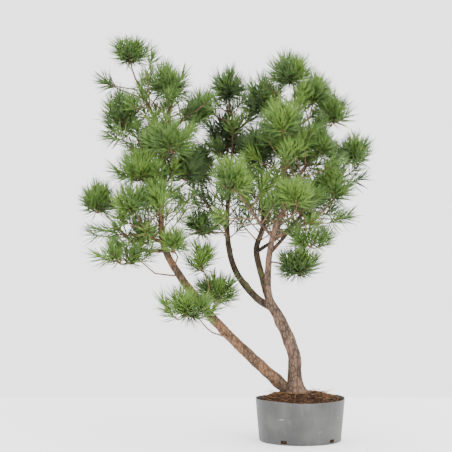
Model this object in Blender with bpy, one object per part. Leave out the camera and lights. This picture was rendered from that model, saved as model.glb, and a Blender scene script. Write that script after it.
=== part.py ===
"""Potted mugo pine: a young pine of five leaning stems in a cut-down plastic pot.

Metres, +Z up. The origin is the centre of the pot's underside, and the plant's front
faces -Y. The trunk starts from a flat cut at the level of the soil. Limbs are tapering
tubes along smooth routes, each cut 0.3 mm clear of the limb that carries it. Every mass
of needles is twigs grown by a seeded rule inside its own ellipsoid, with a tuft of
needles on the end of each twig.
"""

import math
import random
from collections import namedtuple

import bmesh
import bpy
from mathutils import Vector
from mathutils.bvhtree import BVHTree

# The gap kept between neighbouring solids. The cutters are a little wider, because flat
# sides lie nearer to each other than the round limbs that they stand for.
GAP = 0.0003
TRUNK_CUTTER_GAP = 1.5 * GAP
STEM_CUTTER_GAP = 1.2 * GAP

# The pot: a thin round tub with its top cut off, and drain slots low in its wall.
POT_HEIGHT = 0.105
POT_RIM_RADIUS = 0.1114
POT_BASE_RADIUS = 0.102
POT_WALL = 0.002
POT_FLOOR = 0.003
POT_SIDES = 32
RIM_WAVE = 0.0012
# Each wave of the rim: its share, how often it goes round, and its phase.
RIM_WAVES = ((1.0, 2, 0.6), (0.5, 5, 0.0))
SLOT_COUNT = 5
SLOT_FIRST_ANGLE = -116.0
SLOT_SIZE = (0.02, 0.016, 0.008)
SLOT_HEIGHT = 0.008

# The soil: a mound inside the pot, with a flat top that the trunk stands on.
GROUND = 0.1183
SOIL_TOP_RADIUS = 0.05
SOIL_EDGE_LEVEL = 0.096
SOIL_RINGS = 3

# The root flare: how far each root swells out of the trunk's foot, and how fast it fades.
FLARE_HEIGHT = 0.013
ROOTS = ((10.0, 0.026), (-75.0, 0.018), (-150.0, 0.014), (130.0, 0.016), (65.0, 0.01))
ROOT_SHARPNESS = 3
FLARE_LEVELS = (0.0, 0.003, 0.008, 0.016, 0.03)

# How the trunk is rounded off past the fork: how far on a ring lies, and its share of the radius.
FORK_ROUNDING = ((0.006, 0.8), (0.009, 0.45))

TRUNK_SIDES = 12
STEM_SIDES = 8
BOUGH_SIDES = 6
STEM_STEP = 0.05
BOUGH_STEP = 0.045
SHARP_EDGE = 40.0

# Needles: a tuft is a slim four-sided core with needles standing out of it.
CORE_SIDES = 4
CORE_LENGTH = 0.03
CORE_FOOT_RADIUS = 0.0035
CORE_WAIST_RADIUS = 0.0068
CORE_WAIST_AT = 0.5
NEEDLE_LENGTH = 0.052
NEEDLE_LENGTHS = (0.85, 1.1)
NEEDLE_LEAN = (72.0, 52.0, 27.0)
NEEDLE_LEAN_PLAY = 6.0
NEEDLE_TURN_PLAY = 0.12
NEEDLE_TAPER = 0.0042
NEEDLE_MARGIN = 0.0005
NEEDLE_SHORTENING = 0.85
SHORTEST_NEEDLE = 0.6

# Twigs: radii, how far one is sunk into its tuft and into the twig it leaves, and how much
# it sags. A detour counts as this share of its length when a twig picks where to start.
TWIG_SIDES = 3
TWIG_RADIUS = 0.0017
TWIG_FOOT_SHARE = 1.2
STEM_TWIG_RADIUS = 0.0026
STEM_TWIG_TIP_SHARE = 1.25
TWIG_SUNK = 0.012
TWIG_BACK = 0.001
TWIG_SAG = 0.1
DETOUR_COST = 0.4

# A mass's stem: its collar, how far it goes straight out, and the places tried for its hub,
# as shares of the way to the middle.
COLLAR = 0.0045
STRAIGHT_SHARE = 0.35
STRAIGHT_MOST = 0.02
HUB_WAYS = (0.3, 0.15, 0.05, -0.1)
OUTSIDE_LIMB = 0.05

# Where tufts go in a mass: how much of the height they span, how near the skin they end,
# and how far they turn up.
TUFT_SPAN = 1.55
TUFT_FIRST = 0.35
TUFT_NEARNESS = (0.85, 1.0)
TUFT_REACH = 0.036
TUFT_LEAST = 0.35
TUFT_LIFT = (0.35, 0.75)

# Clearances, and how finely a line is tested for them.
KEEP_CLEAR = 0.0022
CORE_MARGIN = 0.0012
TWIG_MARGIN = 0.0005
SEARCH_SLACK = 0.01
OWN_SKIP = 0.013
LINE_STEP = 0.003
OWN_STEP = 0.004

BARKS = {
    "orange_bark": ((0.31, 0.175, 0.105, 1.0), 0.85),
    "pink_bark": ((0.34, 0.205, 0.14, 1.0), 0.85),
    "dark_bark": ((0.095, 0.06, 0.037, 1.0), 0.9),
}
NEEDLE_GREEN = ((0.085, 0.16, 0.04, 1.0), 0.55)
POT_GREY = ((0.26, 0.265, 0.255, 1.0), 0.5)
SOIL_BROWN = ((0.07, 0.032, 0.015, 1.0), 0.95)

Limb = namedtuple("Limb", "carrier route foot tip bark")
Mass = namedtuple("Mass", "carrier along centre radii shoots")

# Each limb: what carries it, its route from inside that, its radius at foot and tip.
STEMS = {
    "trunk": Limb(None, (
        (-0.015, 0.0, 0.1183), (-0.014, 0.0, 0.185), (-0.018, 0.0, 0.222),
        (-0.045, 0.0, 0.29), (-0.079, 0.0, 0.348)), 0.0178, 0.0122, "pink_bark"),
    "left_stem": Limb("trunk", (
        (-0.012, -0.002, 0.109), (-0.096, -0.015, 0.184), (-0.204, -0.035, 0.291),
        (-0.298, -0.045, 0.41), (-0.341, -0.045, 0.5), (-0.342, -0.03, 0.63),
        (-0.333, -0.015, 0.745), (-0.322, -0.01, 0.83)), 0.0155, 0.003, "orange_bark"),
    "right_stem": Limb("trunk", (
        (-0.072, 0.0, 0.334), (-0.081, -0.007, 0.385), (-0.077, -0.022, 0.465),
        (-0.062, -0.043, 0.533), (-0.034, -0.048, 0.595), (-0.045, -0.034, 0.665),
        (-0.029, -0.02, 0.728), (-0.011, -0.008, 0.775), (-0.014, 0.004, 0.865)),
        0.0088, 0.003, "pink_bark"),
    "back_stem": Limb("trunk", (
        (-0.074, 0.004, 0.335), (-0.091, 0.023, 0.395), (-0.108, 0.05, 0.472),
        (-0.091, 0.06, 0.536), (-0.096, 0.07, 0.625), (-0.088, 0.072, 0.7),
        (-0.081, 0.065, 0.755)), 0.0095, 0.003, "dark_bark"),
    "middle_stem": Limb("trunk", (
        (-0.066, 0.003, 0.326), (-0.115, 0.015, 0.36), (-0.165, 0.045, 0.43),
        (-0.182, 0.062, 0.53), (-0.173, 0.075, 0.68), (-0.163, 0.078, 0.77),
        (-0.175, 0.074, 0.835)), 0.0095, 0.0022, "dark_bark"),
}
BOUGHS = {
    "left_leader": Limb("left_stem", (
        (-0.34, -0.024, 0.67), (-0.357, -0.01, 0.78), (-0.408, 0.008, 0.895)),
        0.006, 0.0027, "orange_bark"),
    "left_shoulder_bough": Limb("left_stem", (
        (-0.342, -0.036, 0.59), (-0.372, -0.01, 0.665), (-0.402, 0.012, 0.74)),
        0.005, 0.0027, "orange_bark"),
    "left_inner_bough": Limb("left_stem", (
        (-0.332, -0.015, 0.75), (-0.297, 0.012, 0.795), (-0.268, 0.026, 0.8)),
        0.0037, 0.0025, "orange_bark"),
    "left_arm": Limb("left_stem", (
        (-0.333, -0.046, 0.472), (-0.392, -0.03, 0.475), (-0.43, -0.015, 0.505),
        (-0.468, -0.005, 0.545)), 0.0052, 0.0027, "orange_bark"),
    "left_arm_front": Limb("left_stem", (
        (-0.339, -0.046, 0.492), (-0.376, -0.065, 0.51), (-0.394, -0.08, 0.545)),
        0.0042, 0.0026, "orange_bark"),
    "middle_left_bough": Limb("middle_stem", (
        (-0.18, 0.062, 0.525), (-0.215, 0.078, 0.56), (-0.236, 0.086, 0.6)),
        0.0042, 0.0026, "dark_bark"),
    "front_bough": Limb("right_stem", (
        (-0.071, -0.034, 0.507), (-0.11, -0.07, 0.552), (-0.138, -0.09, 0.588)),
        0.0042, 0.0027, "pink_bark"),
    "back_right_bough": Limb("back_stem", (
        (-0.096, 0.068, 0.605), (-0.065, 0.1, 0.648), (-0.042, 0.132, 0.69)),
        0.005, 0.0027, "dark_bark"),
    "crown_arm": Limb("right_stem", (
        (-0.033, -0.046, 0.605), (-0.001, -0.026, 0.665), (0.028, -0.014, 0.7)),
        0.0042, 0.0026, "pink_bark"),
    "crown_shoulder": Limb("right_stem", (
        (-0.023, -0.015, 0.74), (0.008, 0.004, 0.753), (0.05, 0.02, 0.785)),
        0.004, 0.0026, "pink_bark"),
    "right_low_bough": Limb("right_stem", (
        (-0.071, -0.034, 0.505), (-0.01, -0.045, 0.528), (0.048, -0.03, 0.565)),
        0.0045, 0.0026, "pink_bark"),
    "right_reach_bough": Limb("right_stem", (
        (-0.077, -0.022, 0.465), (-0.028, 0.004, 0.52), (0.03, 0.026, 0.594),
        (0.075, 0.036, 0.648), (0.103, 0.04, 0.675)), 0.0048, 0.0026, "pink_bark"),
    "right_upper_bough": Limb("right_stem", (
        (-0.06, -0.044, 0.538), (-0.034, -0.08, 0.548), (-0.02, -0.1, 0.565)),
        0.004, 0.0026, "pink_bark"),
    "left_rear_bough": Limb("left_stem", (
        (-0.342, -0.03, 0.63), (-0.338, 0.03, 0.66), (-0.352, 0.09, 0.69)),
        0.005, 0.0027, "orange_bark"),
    "right_rear_bough": Limb("back_stem", (
        (-0.105, 0.05, 0.47), (-0.045, 0.09, 0.51), (-0.005, 0.12, 0.55)),
        0.005, 0.0027, "dark_bark"),
}

# Each mass: its carrier, the part of the way along it, the space's centre and radii.
MASSES = {
    "leader_tip": Mass("left_leader", 1.0, (-0.427, 0.01, 0.957), (0.05, 0.05, 0.055), 5),
    "left_crown": Mass("left_stem", 1.0, (-0.33, -0.01, 0.875), (0.055, 0.06, 0.055), 5),
    "left_shoulder": Mass(
        "left_shoulder_bough", 1.0, (-0.445, 0.02, 0.79), (0.06, 0.06, 0.095), 6),
    "left_front": Mass("left_stem", 0.84, (-0.325, -0.09, 0.73), (0.07, 0.052, 0.058), 5),
    "left_breast": Mass("left_stem", 0.76, (-0.395, -0.07, 0.66), (0.075, 0.05, 0.042), 5),
    "left_inner": Mass("left_stem", 0.74, (-0.285, -0.01, 0.668), (0.05, 0.06, 0.06), 5),
    "left_arm_tip": Mass("left_arm", 1.0, (-0.505, 0.0, 0.585), (0.05, 0.06, 0.05), 5),
    "left_arm_front_tip": Mass(
        "left_arm_front", 1.0, (-0.415, -0.09, 0.58), (0.047, 0.05, 0.047), 3),
    "left_waist": Mass("left_stem", 0.66, (-0.345, -0.1, 0.6), (0.042, 0.045, 0.042), 2),
    "left_crook": Mass("left_arm", 0.55, (-0.39, 0.02, 0.5), (0.05, 0.045, 0.043), 2),
    "left_crook_front": Mass(
        "left_stem", 0.53, (-0.31, -0.09, 0.485), (0.038, 0.042, 0.036), 2),
    "left_whip": Mass("left_stem", 0.5, (-0.43, -0.075, 0.455), (0.095, 0.035, 0.038), 4),
    "low_twig": Mass("left_stem", 0.38, (-0.245, -0.03, 0.44), (0.032, 0.04, 0.057), 2),
    "low_front": Mass("left_stem", 0.27, (-0.28, -0.085, 0.325), (0.085, 0.06, 0.06), 5),
    "low_back": Mass("left_stem", 0.35, (-0.21, 0.01, 0.36), (0.06, 0.06, 0.042), 5),
    "middle_left_tip": Mass(
        "middle_stem", 0.43, (-0.25, 0.07, 0.525), (0.055, 0.05, 0.055), 3),
    "middle_left_dark": Mass(
        "middle_left_bough", 1.0, (-0.25, 0.09, 0.675), (0.042, 0.06, 0.08), 5),
    "inner_spire": Mass("left_inner_bough", 1.0, (-0.25, 0.03, 0.815), (0.036, 0.05, 0.055), 3),
    "middle_spire": Mass("middle_stem", 1.0, (-0.18, 0.07, 0.873), (0.038, 0.05, 0.05), 5),
    "middle_rear": Mass("middle_stem", 0.72, (-0.18, 0.11, 0.745), (0.06, 0.07, 0.085), 6),
    "front_tuft": Mass("front_bough", 1.0, (-0.17, -0.11, 0.635), (0.056, 0.055, 0.062), 5),
    "crown_top": Mass("right_stem", 1.0, (-0.025, 0.005, 0.905), (0.062, 0.07, 0.06), 6),
    "crown_left": Mass("back_stem", 1.0, (-0.09, 0.04, 0.835), (0.055, 0.065, 0.08), 6),
    "crown_right": Mass("right_stem", 0.86, (0.033, 0.01, 0.855), (0.042, 0.07, 0.055), 5),
    "crown_outer": Mass("crown_shoulder", 1.0, (0.08, 0.03, 0.81), (0.037, 0.06, 0.052), 5),
    "crown_front": Mass("right_stem", 0.79, (-0.045, -0.08, 0.78), (0.057, 0.05, 0.067), 5),
    "crown_low_left": Mass("back_stem", 0.7, (-0.108, 0.03, 0.72), (0.055, 0.06, 0.055), 5),
    "crown_arm_tip": Mass("crown_arm", 1.0, (0.05, -0.01, 0.725), (0.043, 0.06, 0.05), 4),
    "reach_tip": Mass("right_reach_bough", 1.0, (0.138, 0.04, 0.708), (0.055, 0.06, 0.05), 5),
    "reach_under": Mass("right_low_bough", 1.0, (0.085, -0.015, 0.62), (0.055, 0.06, 0.075), 5),
    "waist_front": Mass("right_upper_bough", 1.0, (-0.02, -0.12, 0.6), (0.052, 0.055, 0.042), 3),
    "right_whip": Mass("right_stem", 0.36, (0.02, -0.06, 0.495), (0.085, 0.035, 0.032), 3),
    "right_low": Mass("right_stem", 0.2, (-0.005, 0.0, 0.425), (0.07, 0.06, 0.055), 5),
    "rear_right_low": Mass(
        "right_rear_bough", 1.0, (0.025, 0.15, 0.595), (0.062, 0.065, 0.055), 5),
    "rear_crown": Mass("back_right_bough", 1.0, (-0.025, 0.16, 0.75), (0.067, 0.065, 0.077), 6),
    "rear_left": Mass("left_rear_bough", 1.0, (-0.36, 0.13, 0.735), (0.067, 0.065, 0.075), 6),
}

GOLDEN_ANGLE = math.pi * (3.0 - math.sqrt(5.0))
UP = Vector((0.0, 0.0, 1.0))


def clear_scene():
    for thing in list(bpy.data.objects):
        bpy.data.objects.remove(thing, do_unlink=True)


def material(name, colour, roughness):
    made = bpy.data.materials.get(name)
    if made:
        return made
    made = bpy.data.materials.new(name)
    made.use_nodes = True
    shader = made.node_tree.nodes["Principled BSDF"]
    shader.inputs["Base Color"].default_value = colour
    shader.inputs["Roughness"].default_value = roughness
    shader.inputs["Metallic"].default_value = 0.0
    made.diffuse_color = colour
    return made


def object_from(name, bm, finish=None):
    """Turns a bmesh into an object of the scene, with its faces triangulated and facing out."""
    bmesh.ops.triangulate(bm, faces=bm.faces)
    bmesh.ops.recalc_face_normals(bm, faces=bm.faces)
    mesh = bpy.data.meshes.new(name)
    bm.to_mesh(mesh)
    bm.free()
    made = bpy.data.objects.new(name, mesh)
    bpy.context.scene.collection.objects.link(made)
    if finish:
        mesh.materials.append(material(*finish))
    return made


def freeze(thing):
    """Replaces an object's mesh by what its modifiers make of it, and drops them."""
    graph = bpy.context.evaluated_depsgraph_get()
    mesh = bpy.data.meshes.new_from_object(thing.evaluated_get(graph))
    thing.modifiers.clear()
    thing.data = mesh


def keep_largest_shell(thing):
    """Leaves the largest outer shell, which drops loose scraps and fills sealed hollows."""
    bm = bmesh.new()
    bm.from_mesh(thing.data)
    bm.faces.ensure_lookup_table()
    seen = set()
    shells = []
    for start in bm.faces:
        if start in seen:
            continue
        shell = []
        queue = [start]
        seen.add(start)
        while queue:
            face = queue.pop()
            shell.append(face)
            for edge in face.edges:
                for other in edge.link_faces:
                    if other not in seen:
                        seen.add(other)
                        queue.append(other)
        shells.append(shell)
    if len(shells) > 1:
        def volume(shell):
            return sum(f.calc_center_median().dot(f.normal) * f.calc_area() for f in shell)
        largest = max(shells, key=volume)
        others = [face for shell in shells if shell is not largest for face in shell]
        bmesh.ops.delete(bm, geom=others, context="FACES")
    bmesh.ops.triangulate(bm, faces=bm.faces)
    bm.to_mesh(thing.data)
    bm.free()


def boolean(thing, operation, operand, solver="EXACT"):
    """Joins or cuts with an object or a whole collection, and removes the operands."""
    modifier = thing.modifiers.new("join", "BOOLEAN")
    modifier.operation = operation
    modifier.solver = solver
    if isinstance(operand, bpy.types.Collection):
        modifier.operand_type = "COLLECTION"
        modifier.collection = operand
        helpers = list(operand.objects)
    else:
        modifier.object = operand
        helpers = [operand]
    freeze(thing)
    for helper in helpers:
        bpy.data.objects.remove(helper, do_unlink=True)
    if isinstance(operand, bpy.types.Collection):
        bpy.data.collections.remove(operand)
    keep_largest_shell(thing)


def smooth_route(points, step):
    """Evenly spaced points on a Catmull-Rom curve through the given ones."""
    points = [Vector(p) for p in points]
    ends = [points[0] * 2 - points[1]] + points + [points[-1] * 2 - points[-2]]
    route = []
    for a, b, c, d in zip(ends, ends[1:], ends[2:], ends[3:]):
        count = max(1, round((c - b).length / step))
        for i in range(count):
            t = i / count
            route.append(0.5 * (2 * b + (c - a) * t + (2 * a - 5 * b + 4 * c - d) * t * t
                                + (3 * b - a - 3 * c + d) * t * t * t))
    route.append(points[-1])
    return route


def frames_along(route):
    """A direction and two crossing unit vectors at each point, turning as little as they can."""
    frames = []
    side = None
    for i, point in enumerate(route):
        ahead = route[min(i + 1, len(route) - 1)] - route[max(i - 1, 0)]
        ahead.normalize()
        if side is None:
            side = ahead.orthogonal()
        side = (side - ahead * side.dot(ahead)).normalized()
        frames.append((point, ahead, side, ahead.cross(side)))
    return frames


def add_tube(bm, frames, radii, sides, turn=0.0):
    """A closed tube with flat ends round the given frames."""
    rings = []
    for (point, _, across, over), radius in zip(frames, radii):
        ring = []
        for k in range(sides):
            angle = turn + 2 * math.pi * k / sides
            ring.append(bm.verts.new(
                point + across * (radius * math.cos(angle)) + over * (radius * math.sin(angle))))
        rings.append(ring)
    for low, high in zip(rings, rings[1:]):
        for k in range(sides):
            n = (k + 1) % sides
            bm.faces.new((low[k], low[n], high[n], high[k]))
    bm.faces.new(rings[0][::-1])
    bm.faces.new(rings[-1])


def way_fractions(route):
    """How far along the route each of its points lies, from 0 to 1."""
    lengths = [0.0]
    for a, b in zip(route, route[1:]):
        lengths.append(lengths[-1] + (b - a).length)
    return [length / lengths[-1] for length in lengths]


def limb_tube(limb, step, sides, swell=0.0):
    """A limb's tapering tube. The swell widens it all round, for a cutter with the gap in it."""
    route = smooth_route(limb.route, step)
    radii = []
    for way in way_fractions(route):
        radii.append(limb.foot + (limb.tip - limb.foot) * way + swell / math.cos(math.pi / sides))
    frames = frames_along(route)
    if swell:
        point, ahead, side, over = frames[-1]
        frames[-1] = (point + ahead * swell, ahead, side, over)
    bm = bmesh.new()
    add_tube(bm, frames, radii, sides)
    return bm


def trunk_solid(swell=0.0):
    """The trunk: a taper with a lobe for each root at its flat foot, rounded off at the fork."""
    limb = STEMS["trunk"]
    route = smooth_route(limb.route, STEM_STEP)
    start = route[0]
    low = [start + (route[1] - start) * (h / (route[1] - start).length) for h in FLARE_LEVELS]
    route = low + route[1:]
    onward = (route[-1] - route[-2]).normalized()
    fork = len(route)
    route += [route[-1] + onward * distance for distance, _ in FORK_ROUNDING]
    ways = way_fractions(route)
    bm = bmesh.new()
    rings = []
    for i, (point, ahead, side, over) in enumerate(frames_along(route)):
        if i < len(FLARE_LEVELS):
            side, over = Vector((1.0, 0.0, 0.0)), Vector((0.0, 1.0, 0.0))
        else:
            side = (Vector((1.0, 0.0, 0.0)) - ahead * ahead.x).normalized()
            over = ahead.cross(side)
        radius = limb.foot + (limb.tip - limb.foot) * ways[i]
        if i >= fork:
            radius *= FORK_ROUNDING[i - fork][1]
        height = point.z - start.z
        ring = []
        for k in range(TRUNK_SIDES):
            angle = 2 * math.pi * k / TRUNK_SIDES
            reach = radius + swell / math.cos(math.pi / TRUNK_SIDES)
            for azimuth, swelling in ROOTS:
                facing = max(0.0, math.cos(angle - math.radians(azimuth)))
                reach += swelling * facing ** ROOT_SHARPNESS * math.exp(-height / FLARE_HEIGHT)
            ring.append(bm.verts.new(
                point + side * (reach * math.cos(angle)) + over * (reach * math.sin(angle))))
        rings.append(ring)
    for low_ring, high_ring in zip(rings, rings[1:]):
        for k in range(TRUNK_SIDES):
            n = (k + 1) % TRUNK_SIDES
            bm.faces.new((low_ring[k], low_ring[n], high_ring[n], high_ring[k]))
    bm.faces.new(rings[0][::-1])
    bm.faces.new(rings[-1])
    return bm


def make_limbs():
    """All stems and boughs, each cut clear of its carrier and of the stems beside it."""
    made = {"trunk": object_from("trunk", trunk_solid(), ("pink_bark", *BARKS["pink_bark"]))}
    for name, limb in {**STEMS, **BOUGHS}.items():
        if limb.carrier is None:
            continue
        is_stem = name in STEMS
        step, sides = (STEM_STEP, STEM_SIDES) if is_stem else (BOUGH_STEP, BOUGH_SIDES)
        thing = object_from(name, limb_tube(limb, step, sides), (limb.bark, *BARKS[limb.bark]))
        neighbours = [limb.carrier]
        if is_stem:
            neighbours += [other for other in made if other != limb.carrier]
            cut_at_ground(thing)
        for other in neighbours:
            if other == "trunk":
                cutter = trunk_solid(TRUNK_CUTTER_GAP)
            else:
                cutter = limb_tube(STEMS[other], STEM_STEP, STEM_SIDES, STEM_CUTTER_GAP)
            boolean(thing, "DIFFERENCE", object_from("cutter", cutter))
        made[name] = thing
    return made


def cut_at_ground(thing):
    """A flat cut at the level of the soil, for a limb that leaves the root flare."""
    bm = bmesh.new()
    bm.from_mesh(thing.data)
    cut = bmesh.ops.bisect_plane(
        bm, geom=bm.verts[:] + bm.edges[:] + bm.faces[:], plane_co=(0, 0, GROUND),
        plane_no=(0, 0, 1), clear_inner=True)
    edges = [part for part in cut["geom_cut"] if isinstance(part, bmesh.types.BMEdge)]
    if edges:
        bmesh.ops.contextual_create(bm, geom=edges)
    bmesh.ops.triangulate(bm, faces=bm.faces)
    bm.to_mesh(thing.data)
    bm.free()


def turned(profile, waves=None):
    """A closed solid turned round Z from (radius, height) points, starting and ending on the axis."""
    bm = bmesh.new()
    rings = []
    for i, (radius, height) in enumerate(profile):
        if radius == 0.0:
            rings.append([bm.verts.new((0.0, 0.0, height))])
            continue
        ring = []
        for k in range(POT_SIDES):
            angle = 2 * math.pi * k / POT_SIDES
            lift = waves(i, angle) if waves else 0.0
            ring.append(bm.verts.new(
                (radius * math.cos(angle), radius * math.sin(angle), height + lift)))
        rings.append(ring)
    for low, high in zip(rings, rings[1:]):
        for k in range(POT_SIDES):
            n = (k + 1) % POT_SIDES
            if len(low) == 1:
                bm.faces.new((low[0], high[n], high[k]))
            elif len(high) == 1:
                bm.faces.new((low[k], low[n], high[0]))
            else:
                bm.faces.new((low[k], low[n], high[n], high[k]))
    return bm


def pot_radius(height):
    return POT_BASE_RADIUS + (POT_RIM_RADIUS - POT_BASE_RADIUS) * height / POT_HEIGHT


def make_pot():
    """The tub: a flat underside, a tapering wall and a rim that was cut a little unevenly."""
    outer_foot = (pot_radius(0.0), 0.0)
    outer_rim = (POT_RIM_RADIUS, POT_HEIGHT)
    inner_rim = (POT_RIM_RADIUS - POT_WALL, POT_HEIGHT)
    inner_foot = (pot_radius(POT_FLOOR) - POT_WALL, POT_FLOOR)
    profile = [(0.0, 0.0), outer_foot, outer_rim, inner_rim, inner_foot, (0.0, POT_FLOOR)]

    def rim_wave(index, angle):
        if profile[index][1] < POT_HEIGHT:
            return 0.0
        return RIM_WAVE * sum(
            share * math.sin(times * angle + phase) for share, times, phase in RIM_WAVES)

    pot = object_from("pot", turned(profile, rim_wave), ("grey_plastic", *POT_GREY))
    for k in range(SLOT_COUNT):
        angle = math.radians(SLOT_FIRST_ANGLE + k * 360.0 / SLOT_COUNT)
        bm = bmesh.new()
        bmesh.ops.create_cube(bm, size=1.0)
        for vert in bm.verts:
            x, y, z = (part * size for part, size in zip(vert.co, SLOT_SIZE))
            x += pot_radius(SLOT_HEIGHT)
            vert.co = (x * math.cos(angle) - y * math.sin(angle),
                       x * math.sin(angle) + y * math.cos(angle), z + SLOT_HEIGHT)
        boolean(pot, "DIFFERENCE", object_from("slot", bm))
    return pot


def make_soil():
    """The soil: it fills the pot, and mounds up to the flat place under the trunk."""
    inside = POT_WALL + GAP
    bottom = POT_FLOOR + GAP
    profile = [(0.0, bottom), (pot_radius(bottom) - inside, bottom),
               (pot_radius(SOIL_EDGE_LEVEL) - inside, SOIL_EDGE_LEVEL)]
    edge = profile[-1][0]
    top = GROUND - GAP
    for k in range(1, SOIL_RINGS + 1):
        way = k / SOIL_RINGS
        radius = edge + (SOIL_TOP_RADIUS - edge) * way
        rise = math.sin(way * math.pi / 2)
        profile.append((radius, SOIL_EDGE_LEVEL + (top - SOIL_EDGE_LEVEL) * rise))
    profile.append((0.0, top))
    return object_from("soil", turned(profile), ("brown_soil", *SOIL_BROWN))


def tree_of(things):
    """A search tree over the faces of some objects, and which object each face belongs to."""
    points = []
    faces = []
    for thing in things:
        first = len(points)
        points.extend(vert.co.copy() for vert in thing.data.vertices)
        faces.extend([first + v for v in polygon.vertices] for polygon in thing.data.polygons)
    return BVHTree.FromPolygons(points, faces)


class Space:
    """The ellipsoid that a mass keeps to, together with all that it must stay clear of."""

    def __init__(self, mass, others):
        self.centre = Vector(mass.centre)
        self.radii = Vector(mass.radii)
        self.others = others

    def depth(self, point):
        """0 at the centre, 1 on the skin."""
        away = point - self.centre
        return Vector((away.x / self.radii.x, away.y / self.radii.y, away.z / self.radii.z)).length

    def is_clear(self, point, margin):
        hit = self.others.find_nearest(point, margin + SEARCH_SLACK)
        return hit[0] is None or hit[3] > margin

    def line_clear(self, start, end, margin, inside=True):
        """Whether a straight line stays in the space and clear of everything round it."""
        length = (end - start).length
        count = max(2, math.ceil(length / LINE_STEP))
        for i in range(count + 1):
            way = i / count
            point = start.lerp(end, way)
            if inside and self.depth(point) > 1.0:
                return False
            if not self.is_clear(point, margin(way)):
                return False
        return True

    def misses_own(self, own, start, end):
        """Whether a needle stays off the twigs and tufts that its own mass already has."""
        length = (end - start).length
        count = math.ceil(length / OWN_STEP)
        for i in range(count + 1):
            way = i / count
            if way * length < OWN_SKIP:
                continue
            hit = own.find_nearest(start.lerp(end, way), KEEP_CLEAR)
            if hit[0] is not None:
                return False
        return True


def leave_point(mass, limbs):
    """Where a mass's stem meets its carrier, 0.3 mm off it, and the way it starts."""
    limb = {**STEMS, **BOUGHS}[mass.carrier]
    route = smooth_route(limb.route, STEM_STEP if mass.carrier in STEMS else BOUGH_STEP)
    centre = Vector(mass.centre)
    if mass.along >= 1.0:
        ahead = (route[-1] - route[-2]).normalized()
        return route[-1] + ahead * GAP, ahead
    ways = way_fractions(route)
    index = max(i for i, way in enumerate(ways) if way <= mass.along)
    part = (mass.along - ways[index]) / (ways[index + 1] - ways[index])
    axis_point = route[index].lerp(route[index + 1], part)
    along = (route[index + 1] - route[index]).normalized()
    outward = centre - axis_point
    outward = (outward - along * outward.dot(along)).normalized()
    carrier = tree_of([limbs[mass.carrier]])
    hit, normal, _, _ = carrier.ray_cast(axis_point + outward * OUTSIDE_LIMB, -outward)
    return hit + normal * GAP, normal


def tuft_goals(mass, rng):
    """Where the tufts go: golden-angle directions over the upper part of the space."""
    goals = []
    phase = rng.uniform(0.0, 2 * math.pi)
    centre = Vector(mass.centre)
    for i in range(mass.shoots):
        height = 1.0 - TUFT_SPAN * (i + TUFT_FIRST) / mass.shoots
        flat = math.sqrt(max(0.0, 1.0 - height * height))
        angle = phase + i * GOLDEN_ANGLE
        out = Vector((flat * math.cos(angle), flat * math.sin(angle), height))
        reach = rng.uniform(*TUFT_NEARNESS)
        inner = Vector([max(TUFT_LEAST * r, r - TUFT_REACH) * reach for r in mass.radii])
        foot = centre + Vector([a * b for a, b in zip(out, inner)])
        facing = (out + UP * rng.uniform(*TUFT_LIFT)).normalized()
        goals.append((foot, facing))
    return goals


def add_twig(bm, points, foot, tip):
    frames = frames_along(points)
    radii = [foot + (tip - foot) * way for way in way_fractions(points)]
    add_tube(bm, frames, radii, TWIG_SIDES)


def tuft_solid(foot, facing, space, own, rng):
    """A slim core whose faces are drawn out into needles, where there is room for them."""
    bm = bmesh.new()
    across = facing.orthogonal().normalized()
    over = facing.cross(across)
    turn = rng.uniform(0.0, 2 * math.pi)

    def ring(radius, along, shift):
        made = []
        for k in range(CORE_SIDES):
            angle = turn + 2 * math.pi * (k + shift) / CORE_SIDES
            out = across * math.cos(angle) + over * math.sin(angle)
            made.append(bm.verts.new(foot + facing * along + out * radius))
        return made

    low = ring(CORE_FOOT_RADIUS, 0.0, 0.0)
    waist = ring(CORE_WAIST_RADIUS, CORE_LENGTH * CORE_WAIST_AT, 0.5)
    peak = bm.verts.new(foot + facing * CORE_LENGTH)
    bm.faces.new(low[::-1])
    drawn = []
    for k in range(CORE_SIDES):
        n = (k + 1) % CORE_SIDES
        drawn.append(((low[k], low[n], waist[k]), NEEDLE_LEAN[0]))
        drawn.append(((low[n], waist[n], waist[k]), NEEDLE_LEAN[1]))
        drawn.append(((waist[k], waist[n], peak), NEEDLE_LEAN[2]))
    for corners, lean in drawn:
        middle = sum((v.co for v in corners), Vector()) / 3
        out = middle - foot
        out = (out - facing * out.dot(facing)).normalized()
        angle = math.radians(lean + rng.uniform(-NEEDLE_LEAN_PLAY, NEEDLE_LEAN_PLAY))
        way = facing * math.cos(angle) + out * math.sin(angle)
        turned_by = rng.uniform(-NEEDLE_TURN_PLAY, NEEDLE_TURN_PLAY)
        way = (way + out.cross(facing) * turned_by).normalized()
        longest = NEEDLE_LENGTH * rng.uniform(*NEEDLE_LENGTHS)
        length = longest

        def margin(part):
            return max(KEEP_CLEAR, NEEDLE_TAPER * (1.0 - part) + NEEDLE_MARGIN)

        while length > longest * SHORTEST_NEEDLE:
            end = middle + way * length
            if space.line_clear(middle, end, margin) and space.misses_own(own, middle, end):
                break
            length *= NEEDLE_SHORTENING
        if length > longest * SHORTEST_NEEDLE:
            tip = bm.verts.new(middle + way * length)
            for a, b in ((0, 1), (1, 2), (2, 0)):
                bm.faces.new((corners[a], corners[b], tip))
        else:
            bm.faces.new(corners)
    return bm


def core_margin(_):
    return CORE_WAIST_RADIUS + CORE_MARGIN


def twig_margin(_):
    return STEM_TWIG_RADIUS + TWIG_MARGIN


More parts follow.
